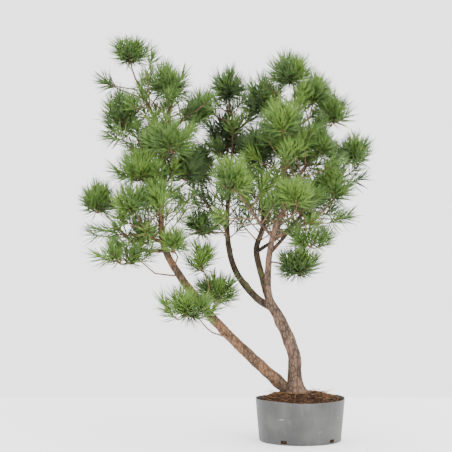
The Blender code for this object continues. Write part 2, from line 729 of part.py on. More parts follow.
def grow_mass(name, mass, limbs, around):
    """One mass: a stem, twigs that each leave the nearest grown point, and a tuft on each."""
    rng = random.Random(name)
    space = Space(mass, around)
    start, ahead = leave_point(mass, limbs)
    centre = Vector(mass.centre)
    reach = (centre - start).length
    collar = start + ahead * COLLAR
    hub = collar
    straight = ahead * min(STRAIGHT_SHARE * reach, STRAIGHT_MOST)
    for way in HUB_WAYS:
        wanted = start + straight + (centre - start) * way
        if space.line_clear(collar, wanted, twig_margin, inside=False):
            hub = wanted
            break
    bm = bmesh.new()
    line = [start, collar] if hub is collar else [start, collar, hub]
    add_twig(bm, line, STEM_TWIG_RADIUS, TWIG_RADIUS * STEM_TWIG_TIP_SHARE)
    stem = object_from("foliage_" + name, bm, ("needle_green", *NEEDLE_GREEN))
    pieces = bpy.data.collections.new("pieces")
    bpy.context.scene.collection.children.link(pieces)
    grown = [(hub, 0.0)]
    made = []
    tufts = []
    goals = sorted(tuft_goals(mass, rng), key=lambda goal: (goal[0] - start).length)
    for foot, facing in goals:
        if not space.line_clear(foot, foot + facing * CORE_LENGTH, core_margin, inside=False):
            continue
        best = None
        for base, travelled in sorted(
                grown, key=lambda g: (g[0] - foot).length + DETOUR_COST * g[1]):
            bend = base.lerp(foot, 0.5) - UP * TWIG_SAG * (foot - base).length
            if (space.line_clear(base, bend, twig_margin, inside=False)
                    and space.line_clear(bend, foot, twig_margin, inside=False)):
                best = (base, bend, travelled)
                break
        if best is None:
            continue
        base, bend, travelled = best
        sunk = foot + facing * TWIG_SUNK
        twig = bmesh.new()
        back = (base - bend).normalized() * TWIG_BACK
        add_twig(twig, [base + back, bend, sunk], TWIG_RADIUS * TWIG_FOOT_SHARE, TWIG_RADIUS)
        made.append(object_from("twig", twig))
        tufts.append((foot, facing))
        grown.append((bend, travelled + (bend - base).length))
        grown.append((foot, travelled + (bend - base).length + (foot - bend).length))
    for foot, facing in tufts:
        tuft = tuft_solid(foot, facing, space, tree_of([stem] + made), rng)
        made.append(object_from("tuft", tuft))
    for piece in made:
        bpy.context.scene.collection.objects.unlink(piece)
        pieces.objects.link(piece)
    boolean(stem, "UNION", pieces)
    return stem


def main():
    clear_scene()
    make_pot()
    make_soil()
    limbs = make_limbs()
    grown = list(limbs.values())
    for name, mass in MASSES.items():
        grown.append(grow_mass(name, mass, limbs, tree_of(grown)))
    for thing in bpy.context.scene.collection.objects:
        if not thing.name.startswith("foliage_"):
            thing.data.shade_smooth()
            thing.data.set_sharp_from_angle(angle=math.radians(SHARP_EDGE))


main()
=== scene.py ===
"""Potted mugo pine: the finished look of the plant, its pot and its soil.

Metres, +Z up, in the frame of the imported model. The plant's front faces -Y.
"""

import math
import random
from collections import namedtuple

import bmesh
import bpy
import numpy as np
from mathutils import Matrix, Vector, noise
from mathutils.bvhtree import BVHTree


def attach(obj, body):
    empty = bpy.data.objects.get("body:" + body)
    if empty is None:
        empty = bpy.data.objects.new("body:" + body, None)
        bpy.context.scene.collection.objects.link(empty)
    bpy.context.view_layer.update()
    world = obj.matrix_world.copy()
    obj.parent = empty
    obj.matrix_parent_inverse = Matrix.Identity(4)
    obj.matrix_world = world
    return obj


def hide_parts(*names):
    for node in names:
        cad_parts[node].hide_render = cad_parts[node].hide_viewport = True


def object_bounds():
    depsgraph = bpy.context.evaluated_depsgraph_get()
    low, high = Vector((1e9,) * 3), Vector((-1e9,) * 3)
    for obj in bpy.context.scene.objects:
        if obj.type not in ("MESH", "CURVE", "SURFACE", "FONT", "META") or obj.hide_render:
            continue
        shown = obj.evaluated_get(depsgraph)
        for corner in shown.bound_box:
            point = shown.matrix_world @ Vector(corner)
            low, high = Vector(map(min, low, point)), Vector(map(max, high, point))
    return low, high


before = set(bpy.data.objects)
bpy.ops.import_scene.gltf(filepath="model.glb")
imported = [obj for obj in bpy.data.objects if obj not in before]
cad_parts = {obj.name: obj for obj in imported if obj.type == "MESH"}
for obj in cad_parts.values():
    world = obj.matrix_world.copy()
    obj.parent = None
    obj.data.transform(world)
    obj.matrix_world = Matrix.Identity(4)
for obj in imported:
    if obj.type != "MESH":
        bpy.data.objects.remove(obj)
CAD_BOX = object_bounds()

# The camera of the photograph: nearly level, 3.46 m from the plant, a little left of the pot.
CAMERA_PLACE = (-0.185, -3.46, 0.516)
CAMERA_LENS = 110.5
SENSOR = 36.0
CAMERA_PITCH = 0.29

# The studio: a floor that ends behind the plant, and each light's place, size, power and aim.
FLOOR_REACH = 3.0
FLOOR_BACK = 0.9
FLOOR_GLOW = 0.35
WORLD_STRENGTH = 2.7
LIGHTS = {
    "key": ((1.6, -2.6, 2.6), 2.2, 56.0, (-0.15, 0.0, 0.5)),
    "fill": ((-2.6, -2.4, 1.6), 2.4, 6.0, (-0.2, 0.0, 0.5)),
    "top": ((-0.2, 0.2, 3.4), 3.0, 30.0, (-0.2, 0.0, 0.0)),
}

# The pot: its solid's size with a thinner wall. Its foot is bevelled, as how far in and how
# high. Its wall bulges a little above the foot, and its cut rim is uneven.
POT_HEIGHT = 0.105
POT_RIM_RADIUS = 0.1114
POT_BASE_RADIUS = 0.102
POT_WALL = 0.0016
POT_FLOOR = 0.003
POT_SIDES = 160
WALL_LEVELS = 14
WALL_FOOT = 0.003
FOOT_BEVEL = ((0.003, 0.0), (0.0008, 0.0008))
BULGE = 0.0011
BULGE_FINENESS = 14
BULGE_ABOVE = 0.01
RIM_WAVE = 0.0012
# Each wave of the rim: its share, how often it goes round, and its phase.
RIM_WAVES = ((1.0, 2, 0.6), (0.5, 5, 0.0))
RIM_NICK = 0.0006
NICK_FINENESS = 9
RIM_ABOVE = 0.09
SHARP_EDGE = 35.0
SLOT_COUNT = 5
SLOT_FIRST_ANGLE = -116.0
SLOT_SIZE = (0.02, 0.016, 0.008)
SLOT_HEIGHT = 0.008

# The soil: a mound with a flat top, its gaps to the pot, and its lumps' heights and fineness.
GROUND = 0.1183
SOIL_TOP_RADIUS = 0.05
SOIL_EDGE_LEVEL = 0.096
SOIL_RINGS = 34
SOIL_FLOOR_GAP = 0.0003
SOIL_WALL_GAP = 0.0004
SOIL_LUMPS = ((0.002, 60), (0.0018, 170))
SOIL_SUNK = 0.001
SOIL_SMOOTH_EDGE = 0.012

# Litter on the soil: how many, how far from the axis, how high, and sizes from least to most.
CLODS = 1500
CLODS_WITHIN = 0.105
CLOD_LIFT = -0.0005
CLOD_SIZES = (0.0006, 0.0022)
STRAWS = 160
STRAWS_WITHIN = 0.1
STRAW_LIFT = 0.002
STRAW_TIP_WITHIN = 0.107
STRAW_RISE = 0.12
STRAW_LENGTH = 0.03
STRAW_SIZES = (0.6, 1.1)

# The root flare: how far each root swells out of the trunk's foot, and how fast it fades.
FLARE_HEIGHT = 0.013
ROOTS = ((10.0, 0.026), (-75.0, 0.018), (-150.0, 0.014), (130.0, 0.016), (65.0, 0.01))
ROOT_SHARPNESS = 3
# How the trunk is rounded off past the fork: how far on a ring lies, and its share of the radius.
FORK_ROUNDING = ((0.003, 0.92), (0.006, 0.75), (0.009, 0.4))

# Bark: the limbs' ring spacing and sides, and each layer of relief: how fine, and how high or
# what share of the radius. Plates and grain have full height from FULL_RELIEF_RADIUS on.
BARK_STEP = 0.0035
STEM_SIDES = 28
BOUGH_SIDES = 14
BARK_STRETCH = 0.55
SWELLS = 45
SWELL_SHARE = 0.09
PLATES = 150
PLATE_HEIGHT = 0.0009
GRAIN = 420
GRAIN_HEIGHT = 0.00035
FULL_RELIEF_RADIUS = 0.012
# Knobs along a limb: one for so much of its length, its place, height and reach. Both of the
# last are shares of the radius.
KNOB_EVERY = 0.05
KNOB_PLACES = (0.05, 0.95)
KNOB_HEIGHTS = (0.1, 0.28)
KNOB_REACH = 0.9

# Twigs: radii at foot and tip, ring spacing, how far one runs on into its shoot, how much it
# sags and strays for its length. A detour counts as this share when a twig picks its start.
TWIG_SIDES = 5
TWIG_RADIUS = 0.0013
STEM_TWIG_RADII = (0.0024, TWIG_RADIUS * 1.4)
TWIG_RADII = (TWIG_RADIUS * 1.5, TWIG_RADIUS * 1.15)
SHOOT_RADII = (TWIG_RADIUS * 1.15, TWIG_RADIUS * 0.8)
TWIG_STEP = 0.008
STEM_TWIG_STEP = 0.006
TWIG_OVERLAP = 0.006
TWIG_SAG = 0.1
TWIG_STRAY = 0.06
SHORTEST_TWIG = 0.004
DETOUR_COST = 0.4
# A mass's stem: how far off the limb it starts, how far it goes straight out, and its hub's
# share of the way to the middle.
LEAVE_GAP = 0.003
COLLAR = 0.008
STRAIGHT_SHARE = 0.35
STRAIGHT_MOST = 0.02
HUB_WAY = 0.3

# Shoots: how many for each of the solid's, how much of a mass's height they span, how near
# its skin they sit by turns, how far they turn up. Pairs in brackets are least and most.
SHOOTS_TO_ONE = 3.0
SHOOT_SPAN = 1.6
SHOOT_FIRST = 0.35
DEEP_SHOOTS = (0.3, 0.95)
SKIN_SHOOTS = (0.85, 1.15)
SHOOT_LEAST = 0.5
TUFT_REACH = 0.034
SHOOT_LIFT = (0.3, 0.9)
SHOOT_BACK = 0.024
SHOOT_LENGTH = 0.04
SHOOT_LENGTHS = (0.7, 1.2)
SHOOT_BEND = (0.1, 0.35)
SHOOT_STEPS = 5
# A shoot grows where its middle keeps this far from every limb.
SHOOT_MIDDLE = 0.02
SHOOT_MARGIN = 0.004
BUD_SUNK = 0.001
BUD_SIZES = (0.0011, 0.0017)

# Side shoots on the upper parts of the limbs.
SIDE_SHOOT_STEP = 0.026
SIDE_SHOOTS_ABOVE = 0.48
SIDE_SHOOT_PART = (0.35, 0.97)
SIDE_SHOOT_TURNS = (0.0, 2.1, 4.2)
SIDE_SHOOT_PLAY = 0.3
SIDE_SHOOT_LEAN = 0.3
SIDE_SHOOT_LIFT = (0.2, 0.7)
SIDE_SHOOT_SPAN = (0.015, 0.08)
SIDE_SHOOT_SPACE = (0.08, 0.08, 0.08)
SIDE_SHOOT_TIP = 0.06
SIDE_SHOOT_LENGTHS = (0.6, 1.0)
SIDE_SHOOT_PAIRS = 22

# Needles, in pairs that spiral round a shoot from just above its foot. They lean out most at
# the foot. Rings are a share of the length with a share of the width; triangles join them.
PAIRS_PER_SHOOT = 30
BARE_FOOT = 0.08
NEEDLE_LENGTH = 0.041
NEEDLE_LENGTHS = (0.8, 1.12)
PAIR_LENGTHS = (0.95, 1.05)
PAIR_SPREAD = 0.07
NEEDLE_WIDTH = 0.00084
NEEDLE_BEND = 0.16
NEEDLE_DROOP = (0.0, 0.08)
LEAN_AT_FOOT = 60.0
LEAN_AT_TIP = 14.0
LEAN_CURVE = 1.6
LEAN_PLAY = 7.0
TIP_MARGIN = 0.0015
MIDDLE_MARGIN = 0.0012
SPACE_SLACK = 1.9
BOX_SLACK = 0.009
NEEDLE_RINGS = ((0.0, 0.8), (0.5, 1.0))
NEEDLE_SIDES = 3
NEEDLE_TRIANGLES = ((0, 2, 1), (0, 1, 4), (0, 4, 3), (1, 2, 5), (1, 5, 4), (2, 0, 3), (2, 3, 5),
                    (3, 4, 6), (4, 5, 6), (5, 3, 6))
PIECE_TRIANGLES = 190000

Limb = namedtuple("Limb", "carrier route foot tip bark")
Mass = namedtuple("Mass", "carrier along centre radii shoots")

# Each limb: what carries it, its route from inside that, its radius at foot and tip, its bark.
# The stems behind and their boughs take a bark darkened with painted shade.
STEMS = {
    "trunk": Limb(None, (
        (-0.015, 0.0, 0.1183), (-0.014, 0.0, 0.185), (-0.018, 0.0, 0.222),
        (-0.045, 0.0, 0.29), (-0.079, 0.0, 0.348)), 0.0178, 0.0122, "pink_bark"),
    "left_stem": Limb("trunk", (
        (-0.012, -0.002, 0.109), (-0.096, -0.015, 0.184), (-0.204, -0.035, 0.291),
        (-0.298, -0.045, 0.41), (-0.341, -0.045, 0.5), (-0.342, -0.03, 0.63),
        (-0.333, -0.015, 0.745), (-0.322, -0.01, 0.83)), 0.0155, 0.003, "orange_bark"),
    "right_stem": Limb("trunk", (
        (-0.072, 0.0, 0.334), (-0.081, -0.007, 0.385), (-0.077, -0.022, 0.465),
        (-0.062, -0.043, 0.533), (-0.034, -0.048, 0.595), (-0.045, -0.034, 0.665),
        (-0.029, -0.02, 0.728), (-0.011, -0.008, 0.775), (-0.014, 0.004, 0.865)),
        0.0088, 0.003, "pink_bark"),
    "back_stem": Limb("trunk", (
        (-0.074, 0.004, 0.335), (-0.091, 0.023, 0.395), (-0.108, 0.05, 0.472),
        (-0.091, 0.06, 0.536), (-0.096, 0.07, 0.625), (-0.088, 0.072, 0.7),
        (-0.081, 0.065, 0.755)), 0.0095, 0.003, "dark_bark"),
    "middle_stem": Limb("trunk", (
        (-0.066, 0.003, 0.326), (-0.115, 0.015, 0.36), (-0.165, 0.045, 0.43),
        (-0.182, 0.062, 0.53), (-0.173, 0.075, 0.68), (-0.163, 0.078, 0.77),
        (-0.175, 0.074, 0.835)), 0.0095, 0.0022, "dark_bark"),
}
BOUGHS = {
    "left_leader": Limb("left_stem", (
        (-0.34, -0.024, 0.67), (-0.357, -0.01, 0.78), (-0.408, 0.008, 0.895)),
        0.006, 0.0027, "orange_bark"),
    "left_shoulder_bough": Limb("left_stem", (
        (-0.342, -0.036, 0.59), (-0.372, -0.01, 0.665), (-0.402, 0.012, 0.74)),
        0.005, 0.0027, "orange_bark"),
    "left_inner_bough": Limb("left_stem", (
        (-0.332, -0.015, 0.75), (-0.297, 0.012, 0.795), (-0.268, 0.026, 0.8)),
        0.0037, 0.0025, "orange_bark"),
    "left_arm": Limb("left_stem", (
        (-0.333, -0.046, 0.472), (-0.392, -0.03, 0.475), (-0.43, -0.015, 0.505),
        (-0.468, -0.005, 0.545)), 0.0052, 0.0027, "orange_bark"),
    "left_arm_front": Limb("left_stem", (
        (-0.339, -0.046, 0.492), (-0.376, -0.065, 0.51), (-0.394, -0.08, 0.545)),
        0.0042, 0.0026, "orange_bark"),
    "middle_left_bough": Limb("middle_stem", (
        (-0.18, 0.062, 0.525), (-0.215, 0.078, 0.56), (-0.236, 0.086, 0.6)),
        0.0042, 0.0026, "dark_bark"),
    "front_bough": Limb("right_stem", (
        (-0.071, -0.034, 0.507), (-0.11, -0.07, 0.552), (-0.138, -0.09, 0.588)),
        0.0042, 0.0027, "pink_bark"),
    "back_right_bough": Limb("back_stem", (
        (-0.096, 0.068, 0.605), (-0.065, 0.1, 0.648), (-0.042, 0.132, 0.69)),
        0.005, 0.0027, "dark_bark"),
    "crown_arm": Limb("right_stem", (
        (-0.033, -0.046, 0.605), (-0.001, -0.026, 0.665), (0.028, -0.014, 0.7)),
        0.0042, 0.0026, "pink_bark"),
    "crown_shoulder": Limb("right_stem", (
        (-0.023, -0.015, 0.74), (0.008, 0.004, 0.753), (0.05, 0.02, 0.785)),
        0.004, 0.0026, "pink_bark"),
    "right_low_bough": Limb("right_stem", (
        (-0.071, -0.034, 0.505), (-0.01, -0.045, 0.528), (0.048, -0.03, 0.565)),
        0.0045, 0.0026, "pink_bark"),
    "right_reach_bough": Limb("right_stem", (
        (-0.077, -0.022, 0.465), (-0.028, 0.004, 0.52), (0.03, 0.026, 0.594),
        (0.075, 0.036, 0.648), (0.103, 0.04, 0.675)), 0.0048, 0.0026, "pink_bark"),
    "right_upper_bough": Limb("right_stem", (
        (-0.06, -0.044, 0.538), (-0.034, -0.08, 0.548), (-0.02, -0.1, 0.565)),
        0.004, 0.0026, "pink_bark"),
    "left_rear_bough": Limb("left_stem", (
        (-0.342, -0.03, 0.63), (-0.338, 0.03, 0.66), (-0.352, 0.09, 0.69)),
        0.005, 0.0027, "orange_bark"),
    "right_rear_bough": Limb("back_stem", (
        (-0.105, 0.05, 0.47), (-0.045, 0.09, 0.51), (-0.005, 0.12, 0.55)),
        0.005, 0.0027, "dark_bark"),
}

# Each mass: its carrier, the part of the way along it, the space's centre and radii.
MASSES = {
    "leader_tip": Mass("left_leader", 1.0, (-0.427, 0.01, 0.957), (0.05, 0.05, 0.055), 5),
    "left_crown": Mass("left_stem", 1.0, (-0.33, -0.01, 0.875), (0.055, 0.06, 0.055), 5),
    "left_shoulder": Mass(
        "left_shoulder_bough", 1.0, (-0.445, 0.02, 0.79), (0.06, 0.06, 0.095), 6),
    "left_front": Mass("left_stem", 0.84, (-0.325, -0.09, 0.73), (0.07, 0.052, 0.058), 5),
    "left_breast": Mass("left_stem", 0.76, (-0.395, -0.07, 0.66), (0.075, 0.05, 0.042), 5),
    "left_inner": Mass("left_stem", 0.74, (-0.285, -0.01, 0.668), (0.05, 0.06, 0.06), 5),
    "left_arm_tip": Mass("left_arm", 1.0, (-0.505, 0.0, 0.585), (0.05, 0.06, 0.05), 5),
    "left_arm_front_tip": Mass(
        "left_arm_front", 1.0, (-0.415, -0.09, 0.58), (0.047, 0.05, 0.047), 3),
    "left_waist": Mass("left_stem", 0.66, (-0.345, -0.1, 0.6), (0.042, 0.045, 0.042), 2),
    "left_crook": Mass("left_arm", 0.55, (-0.39, 0.02, 0.5), (0.05, 0.045, 0.043), 2),
    "left_crook_front": Mass(
        "left_stem", 0.53, (-0.31, -0.09, 0.485), (0.038, 0.042, 0.036), 2),
    "left_whip": Mass("left_stem", 0.5, (-0.43, -0.075, 0.455), (0.095, 0.035, 0.038), 4),
    "low_twig": Mass("left_stem", 0.38, (-0.245, -0.03, 0.44), (0.032, 0.04, 0.057), 2),
    "low_front": Mass("left_stem", 0.27, (-0.28, -0.085, 0.325), (0.085, 0.06, 0.06), 5),
    "low_back": Mass("left_stem", 0.35, (-0.21, 0.01, 0.36), (0.06, 0.06, 0.042), 5),
    "middle_left_tip": Mass(
        "middle_stem", 0.43, (-0.25, 0.07, 0.525), (0.055, 0.05, 0.055), 3),
    "middle_left_dark": Mass(
        "middle_left_bough", 1.0, (-0.25, 0.09, 0.675), (0.042, 0.06, 0.08), 5),
    "inner_spire": Mass("left_inner_bough", 1.0, (-0.25, 0.03, 0.815), (0.036, 0.05, 0.055), 3),
    "middle_spire": Mass("middle_stem", 1.0, (-0.18, 0.07, 0.873), (0.038, 0.05, 0.05), 5),
    "middle_rear": Mass("middle_stem", 0.72, (-0.18, 0.11, 0.745), (0.06, 0.07, 0.085), 6),
    "front_tuft": Mass("front_bough", 1.0, (-0.17, -0.11, 0.635), (0.056, 0.055, 0.062), 5),
    "crown_top": Mass("right_stem", 1.0, (-0.025, 0.005, 0.905), (0.062, 0.07, 0.06), 6),
    "crown_left": Mass("back_stem", 1.0, (-0.09, 0.04, 0.835), (0.055, 0.065, 0.08), 6),
    "crown_right": Mass("right_stem", 0.86, (0.033, 0.01, 0.855), (0.042, 0.07, 0.055), 5),
    "crown_outer": Mass("crown_shoulder", 1.0, (0.08, 0.03, 0.81), (0.037, 0.06, 0.052), 5),
    "crown_front": Mass("right_stem", 0.79, (-0.045, -0.08, 0.78), (0.057, 0.05, 0.067), 5),
    "crown_low_left": Mass("back_stem", 0.7, (-0.108, 0.03, 0.72), (0.055, 0.06, 0.055), 5),
    "crown_arm_tip": Mass("crown_arm", 1.0, (0.05, -0.01, 0.725), (0.043, 0.06, 0.05), 4),
    "reach_tip": Mass("right_reach_bough", 1.0, (0.138, 0.04, 0.708), (0.055, 0.06, 0.05), 5),
    "reach_under": Mass("right_low_bough", 1.0, (0.085, -0.015, 0.62), (0.055, 0.06, 0.075), 5),
    "waist_front": Mass("right_upper_bough", 1.0, (-0.02, -0.12, 0.6), (0.052, 0.055, 0.042), 3),
    "right_whip": Mass("right_stem", 0.36, (0.02, -0.06, 0.495), (0.085, 0.035, 0.032), 3),
    "right_low": Mass("right_stem", 0.2, (-0.005, 0.0, 0.425), (0.07, 0.06, 0.055), 5),
    "rear_right_low": Mass(
        "right_rear_bough", 1.0, (0.025, 0.15, 0.595), (0.062, 0.065, 0.055), 5),
    "rear_crown": Mass("back_right_bough", 1.0, (-0.025, 0.16, 0.75), (0.067, 0.065, 0.077), 6),
    "rear_left": Mass("left_rear_bough", 1.0, (-0.36, 0.13, 0.735), (0.067, 0.065, 0.075), 6),
}

# Needle colours with painted light and shade: two tones for each kind of spray, brightest first.
GREENS = {
    "bright": ((116, 146, 60), (94, 128, 52)),
    "fresh": ((100, 130, 58), (82, 112, 52)),
    "middle": ((84, 110, 56), (70, 94, 50)),
    "deep": ((62, 82, 46), (50, 66, 40)),
}
# A spray's painted light and shade: so much at the middle, more for each metre forward, for facing
# up, at random, and less in the masses in shade. Each kind of green needs more light than its level.
LIGHT = 0.45
LIGHT_FORWARD = 2.2
LIGHT_UP = 0.35
LIGHT_PLAY = 0.25
SHADE_LOSS = 0.35
LIGHT_LEVELS = {"bright": 0.85, "fresh": 0.55, "middle": 0.2}
SHADED_MASSES = {"middle_rear", "middle_left_dark", "rear_crown", "rear_left", "rear_right_low",
               "left_inner", "crown_low_left"}

GOLDEN_ANGLE = math.pi * (3.0 - math.sqrt(5.0))
UP = Vector((0.0, 0.0, 1.0))
LIMBS = {**STEMS, **BOUGHS}


# Nodes and shader maths.

def feed(socket, value):
    """Sets a socket, or links it where the value is a field or another node's socket."""
    if isinstance(value, Field):
        value = value.socket
    if isinstance(value, bpy.types.NodeSocket):
        socket.id_data.links.new(value, socket)
    else:
        socket.default_value = value


def add_node(tree, kind, settings=None, **inputs):
    """Any node: its settings first, then its sockets by name, or by number as n0 or n6."""
    made = tree.nodes.new(kind)
    for name, value in (settings or {}).items():
        setattr(made, name, value)
    for name, value in inputs.items():
        numbered = name[0] == "n" and name[1:].isdigit()
        feed(made.inputs[int(name[1:]) if numbered else name.replace("_", " ")], value)
    return made


class Field:
    """A number on a surface, as an output socket whose sums and products are Math nodes."""

    def __init__(self, shading, socket):
        self.shading = shading
        self.socket = socket

    def __add__(self, other):
        return self.shading.maths("ADD", self, other)

    def __sub__(self, other):
        return self.shading.maths("SUBTRACT", self, other)

    def __rsub__(self, other):
        return self.shading.maths("SUBTRACT", other, self)

    def __mul__(self, other):
        return self.shading.maths("MULTIPLY", self, other)

    __radd__ = __add__
    __rmul__ = __mul__


class Shading:
    """One material with a Principled BSDF, and short ways to add nodes to it."""

    def __init__(self, name, roughness=0.8, specular=0.3):
        self.material = bpy.data.materials.new(name)
        self.material.use_nodes = True
        self.tree = self.material.node_tree
        self.shader = self.tree.nodes["Principled BSDF"]
        self.shader.inputs["Roughness"].default_value = roughness
        self.shader.inputs["Specular IOR Level"].default_value = specular

    def node(self, kind, settings=None, **inputs):
        return add_node(self.tree, kind, settings, **inputs)

    def maths(self, operation, a, b):
        made = self.node("ShaderNodeMath", {"operation": operation}, n0=a, n1=b)
        return Field(self, made.outputs[0])

    def place(self, stretch=(1.0, 1.0, 1.0)):
        """Object coordinates, with the pattern drawn out along an axis."""
        coordinates = self.node("ShaderNodeTexCoord")
        mapping = self.node("ShaderNodeMapping", Vector=coordinates.outputs["Object"],
                            Scale=stretch)
        return mapping.outputs["Vector"]

    def noise(self, scale, detail=4.0, stretch=(1.0, 1.0, 1.0), distortion=0.0):
        made = self.node("ShaderNodeTexNoise", Vector=self.place(stretch), Scale=scale,
                         Detail=detail, Distortion=distortion)
        return Field(self, made.outputs["Fac"])

    def cells(self, scale, feature="F1", stretch=(1.0, 1.0, 1.0)):
        made = self.node("ShaderNodeTexVoronoi", {"feature": feature},
                         Vector=self.place(stretch), Scale=scale)
        return Field(self, made.outputs["Distance"])

    def band(self, field, low, high):
        """0 below low, 1 above high, smooth between."""
        made = self.node("ShaderNodeMapRange", {"interpolation_type": "SMOOTHSTEP"},
                         Value=field, From_Min=low, From_Max=high)
        return Field(self, made.outputs["Result"])

    def mix(self, share, low, high):
        """A colour between two colours."""
        made = self.node("ShaderNodeMix", {"data_type": "RGBA"}, n0=share, n6=low, n7=high)
        return made.outputs[2]

    def bump(self, height, distance, strength=1.0):
        made = self.node("ShaderNodeBump", Height=height, Distance=distance, Strength=strength)
        feed(self.shader.inputs["Normal"], made.outputs["Normal"])

    def colour(self, value):
        feed(self.shader.inputs["Base Color"], value)


def rgb(red, green, blue):
    """A colour as it looks in a picture, 0 to 255, as the linear colour that a shader takes."""
    def linear(part):
        part = part / 255
        return part / 12.92 if part <= 0.04045 else ((part + 0.055) / 1.055) ** 2.4
    return (linear(red), linear(green), linear(blue), 1.0)


def bark_material(name, ground, flake, crack, algae=None):
    """Scaly bark: flakes over a lighter ground, dark cracks between them."""
    look = Shading(name, roughness=0.88, specular=0.2)
    broad = look.noise(38.0, 5.0, (1.0, 1.0, 0.55))
    fine = look.noise(420.0, 6.0, (1.0, 1.0, 0.5))
    scales = look.cells(150.0, "F1", (1.0, 1.0, 0.45))
    edges = look.cells(150.0, "DISTANCE_TO_EDGE", (1.0, 1.0, 0.45))
    flaked = look.band(broad + fine * 0.35, 0.58, 0.78)
    colour = look.mix(flaked, ground, flake)
    colour = look.mix(look.band(fine, 0.4, 0.65) * 0.45, colour, flake)
    colour = look.mix(look.band(scales, 0.42, 0.7) * 0.5, colour, crack)
    cracked = 1.0 - look.band(edges, 0.02, 0.11)
    colour = look.mix(cracked * look.band(broad, 0.35, 0.6) * 0.8, colour, crack)
    if algae:
        colour = look.mix(look.band(look.noise(22.0, 3.0), 0.54, 0.7) * 0.55, colour, algae)
    look.colour(colour)
    look.bump(scales * 0.5 + fine * 0.4 + look.band(edges, 0.0, 0.12) * 0.6, 0.0012, 0.9)
    return look.material


def needle_material(name, base, other):
    """Needles: a base colour that shifts a little from place to place."""
    look = Shading(name, roughness=0.5, specular=0.35)
    drift = look.noise(60.0, 2.0)
    look.colour(look.mix(look.band(drift, 0.3, 0.7), base, other))
    return look.material


def pot_material():
    """Dusty grey plastic with pale scratches and a little soil on it."""
    look = Shading("grey_plastic", roughness=0.48, specular=0.3)
    dust = look.noise(14.0, 6.0)
    streaks = look.noise(60.0, 5.0, (1.0, 1.0, 0.12), 0.4)
    scratches = look.noise(210.0, 2.0, (0.12, 0.12, 1.6), 1.2)
    colour = look.mix(look.band(dust, 0.35, 0.7), rgb(66, 67, 66), rgb(86, 86, 84))
    colour = look.mix(look.band(streaks, 0.52, 0.75) * 0.35, colour, rgb(108, 108, 104))
    colour = look.mix(look.band(scratches, 0.73, 0.78) * 0.6, colour, rgb(205, 204, 198))
    soiled = look.band(look.noise(90.0, 5.0), 0.66, 0.74) * 0.5
    colour = look.mix(soiled, colour, rgb(104, 88, 70))
    look.colour(colour)
    feed(look.shader.inputs["Roughness"], look.band(dust, 0.3, 0.8) * 0.2 + 0.42)
    look.bump(look.noise(320.0, 3.0) * 0.4 + streaks * 0.3, 0.0003, 0.5)
    return look.material


def soil_material():
    """Dark peaty soil in lumps, with lighter crumbs."""
    look = Shading("brown_soil", roughness=0.96, specular=0.1)
    crumbs = look.cells(260.0)
    lumps = look.noise(90.0, 8.0)
    colour = look.mix(look.band(lumps, 0.35, 0.7), rgb(30, 20, 14), rgb(70, 48, 34))
    colour = look.mix(look.band(crumbs, 0.5, 0.8) * 0.5, colour, rgb(92, 68, 48))
    look.colour(colour)
    look.bump(lumps + crumbs * 0.6, 0.002, 1.0)
    return look.material


def plain_material(name, base, other, scale, roughness):
    """A surface that varies a little between two colours, with a fine bump."""
    look = Shading(name, roughness=roughness, specular=0.25)
    drift = look.noise(scale, 4.0)
    look.colour(look.mix(look.band(drift, 0.3, 0.7), base, other))
    look.bump(drift, 0.0004, 0.5)
    return look.material


# Mesh helpers.

def finish_piece(thing, material, slot, *nodes):
    """Gives a piece its material, and lets it ride in place of the named nodes."""
    if material:
        thing.data.materials.clear()
        thing.data.materials.append(material)
    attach(thing, "root")
    if nodes:
        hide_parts(*nodes)
    return thing


def placed(name, data):
    """A new object in the scene."""
    made = bpy.data.objects.new(name, data)
    bpy.context.scene.collection.objects.link(made)
    return made


def object_of(name, bm, smooth=True):
    """A mesh object from a bmesh, which is used up."""
    bmesh.ops.recalc_face_normals(bm, faces=bm.faces)
    mesh = bpy.data.meshes.new(name)
    bm.to_mesh(mesh)
    bm.free()
    if smooth:
        mesh.shade_smooth()
    return placed(name, mesh)


def object_of_arrays(name, points, triangles):
    """A smooth mesh object straight from arrays of points and triangles."""
    mesh = bpy.data.meshes.new(name)
    mesh.vertices.add(len(points))
    mesh.vertices.foreach_set("co", np.ascontiguousarray(points, np.float32).ravel())
    mesh.loops.add(3 * len(triangles))
    mesh.loops.foreach_set("vertex_index", np.ascontiguousarray(triangles, np.int32).ravel())
    mesh.polygons.add(len(triangles))
    mesh.polygons.foreach_set("loop_start", np.arange(0, 3 * len(triangles), 3, dtype=np.int32))
    mesh.update(calc_edges=True)
    mesh.validate()
    mesh.shade_smooth()
    return placed(name, mesh)


def around(angle, radius, height=0.0):
    """The point at an angle round Z, at a radius and a height."""
    return Vector((radius * math.cos(angle), radius * math.sin(angle), height))


def smooth_route(points, step):
    """Evenly spaced points on a Catmull-Rom curve through the given ones."""
    points = [Vector(p) for p in points]
    ends = [points[0] * 2 - points[1]] + points + [points[-1] * 2 - points[-2]]
    route = []
    for a, b, c, d in zip(ends, ends[1:], ends[2:], ends[3:]):
        count = max(1, round((c - b).length / step))
        for i in range(count):
            t = i / count
            route.append(0.5 * (2 * b + (c - a) * t + (2 * a - 5 * b + 4 * c - d) * t * t
                                + (3 * b - a - 3 * c + d) * t * t * t))
    route.append(points[-1])
    return route


def way_fractions(route):
    """How far along the route each of its points lies, from 0 to 1."""
    lengths = [0.0]
    for a, b in zip(route, route[1:]):
        lengths.append(lengths[-1] + (b - a).length)
    return [length / lengths[-1] for length in lengths]


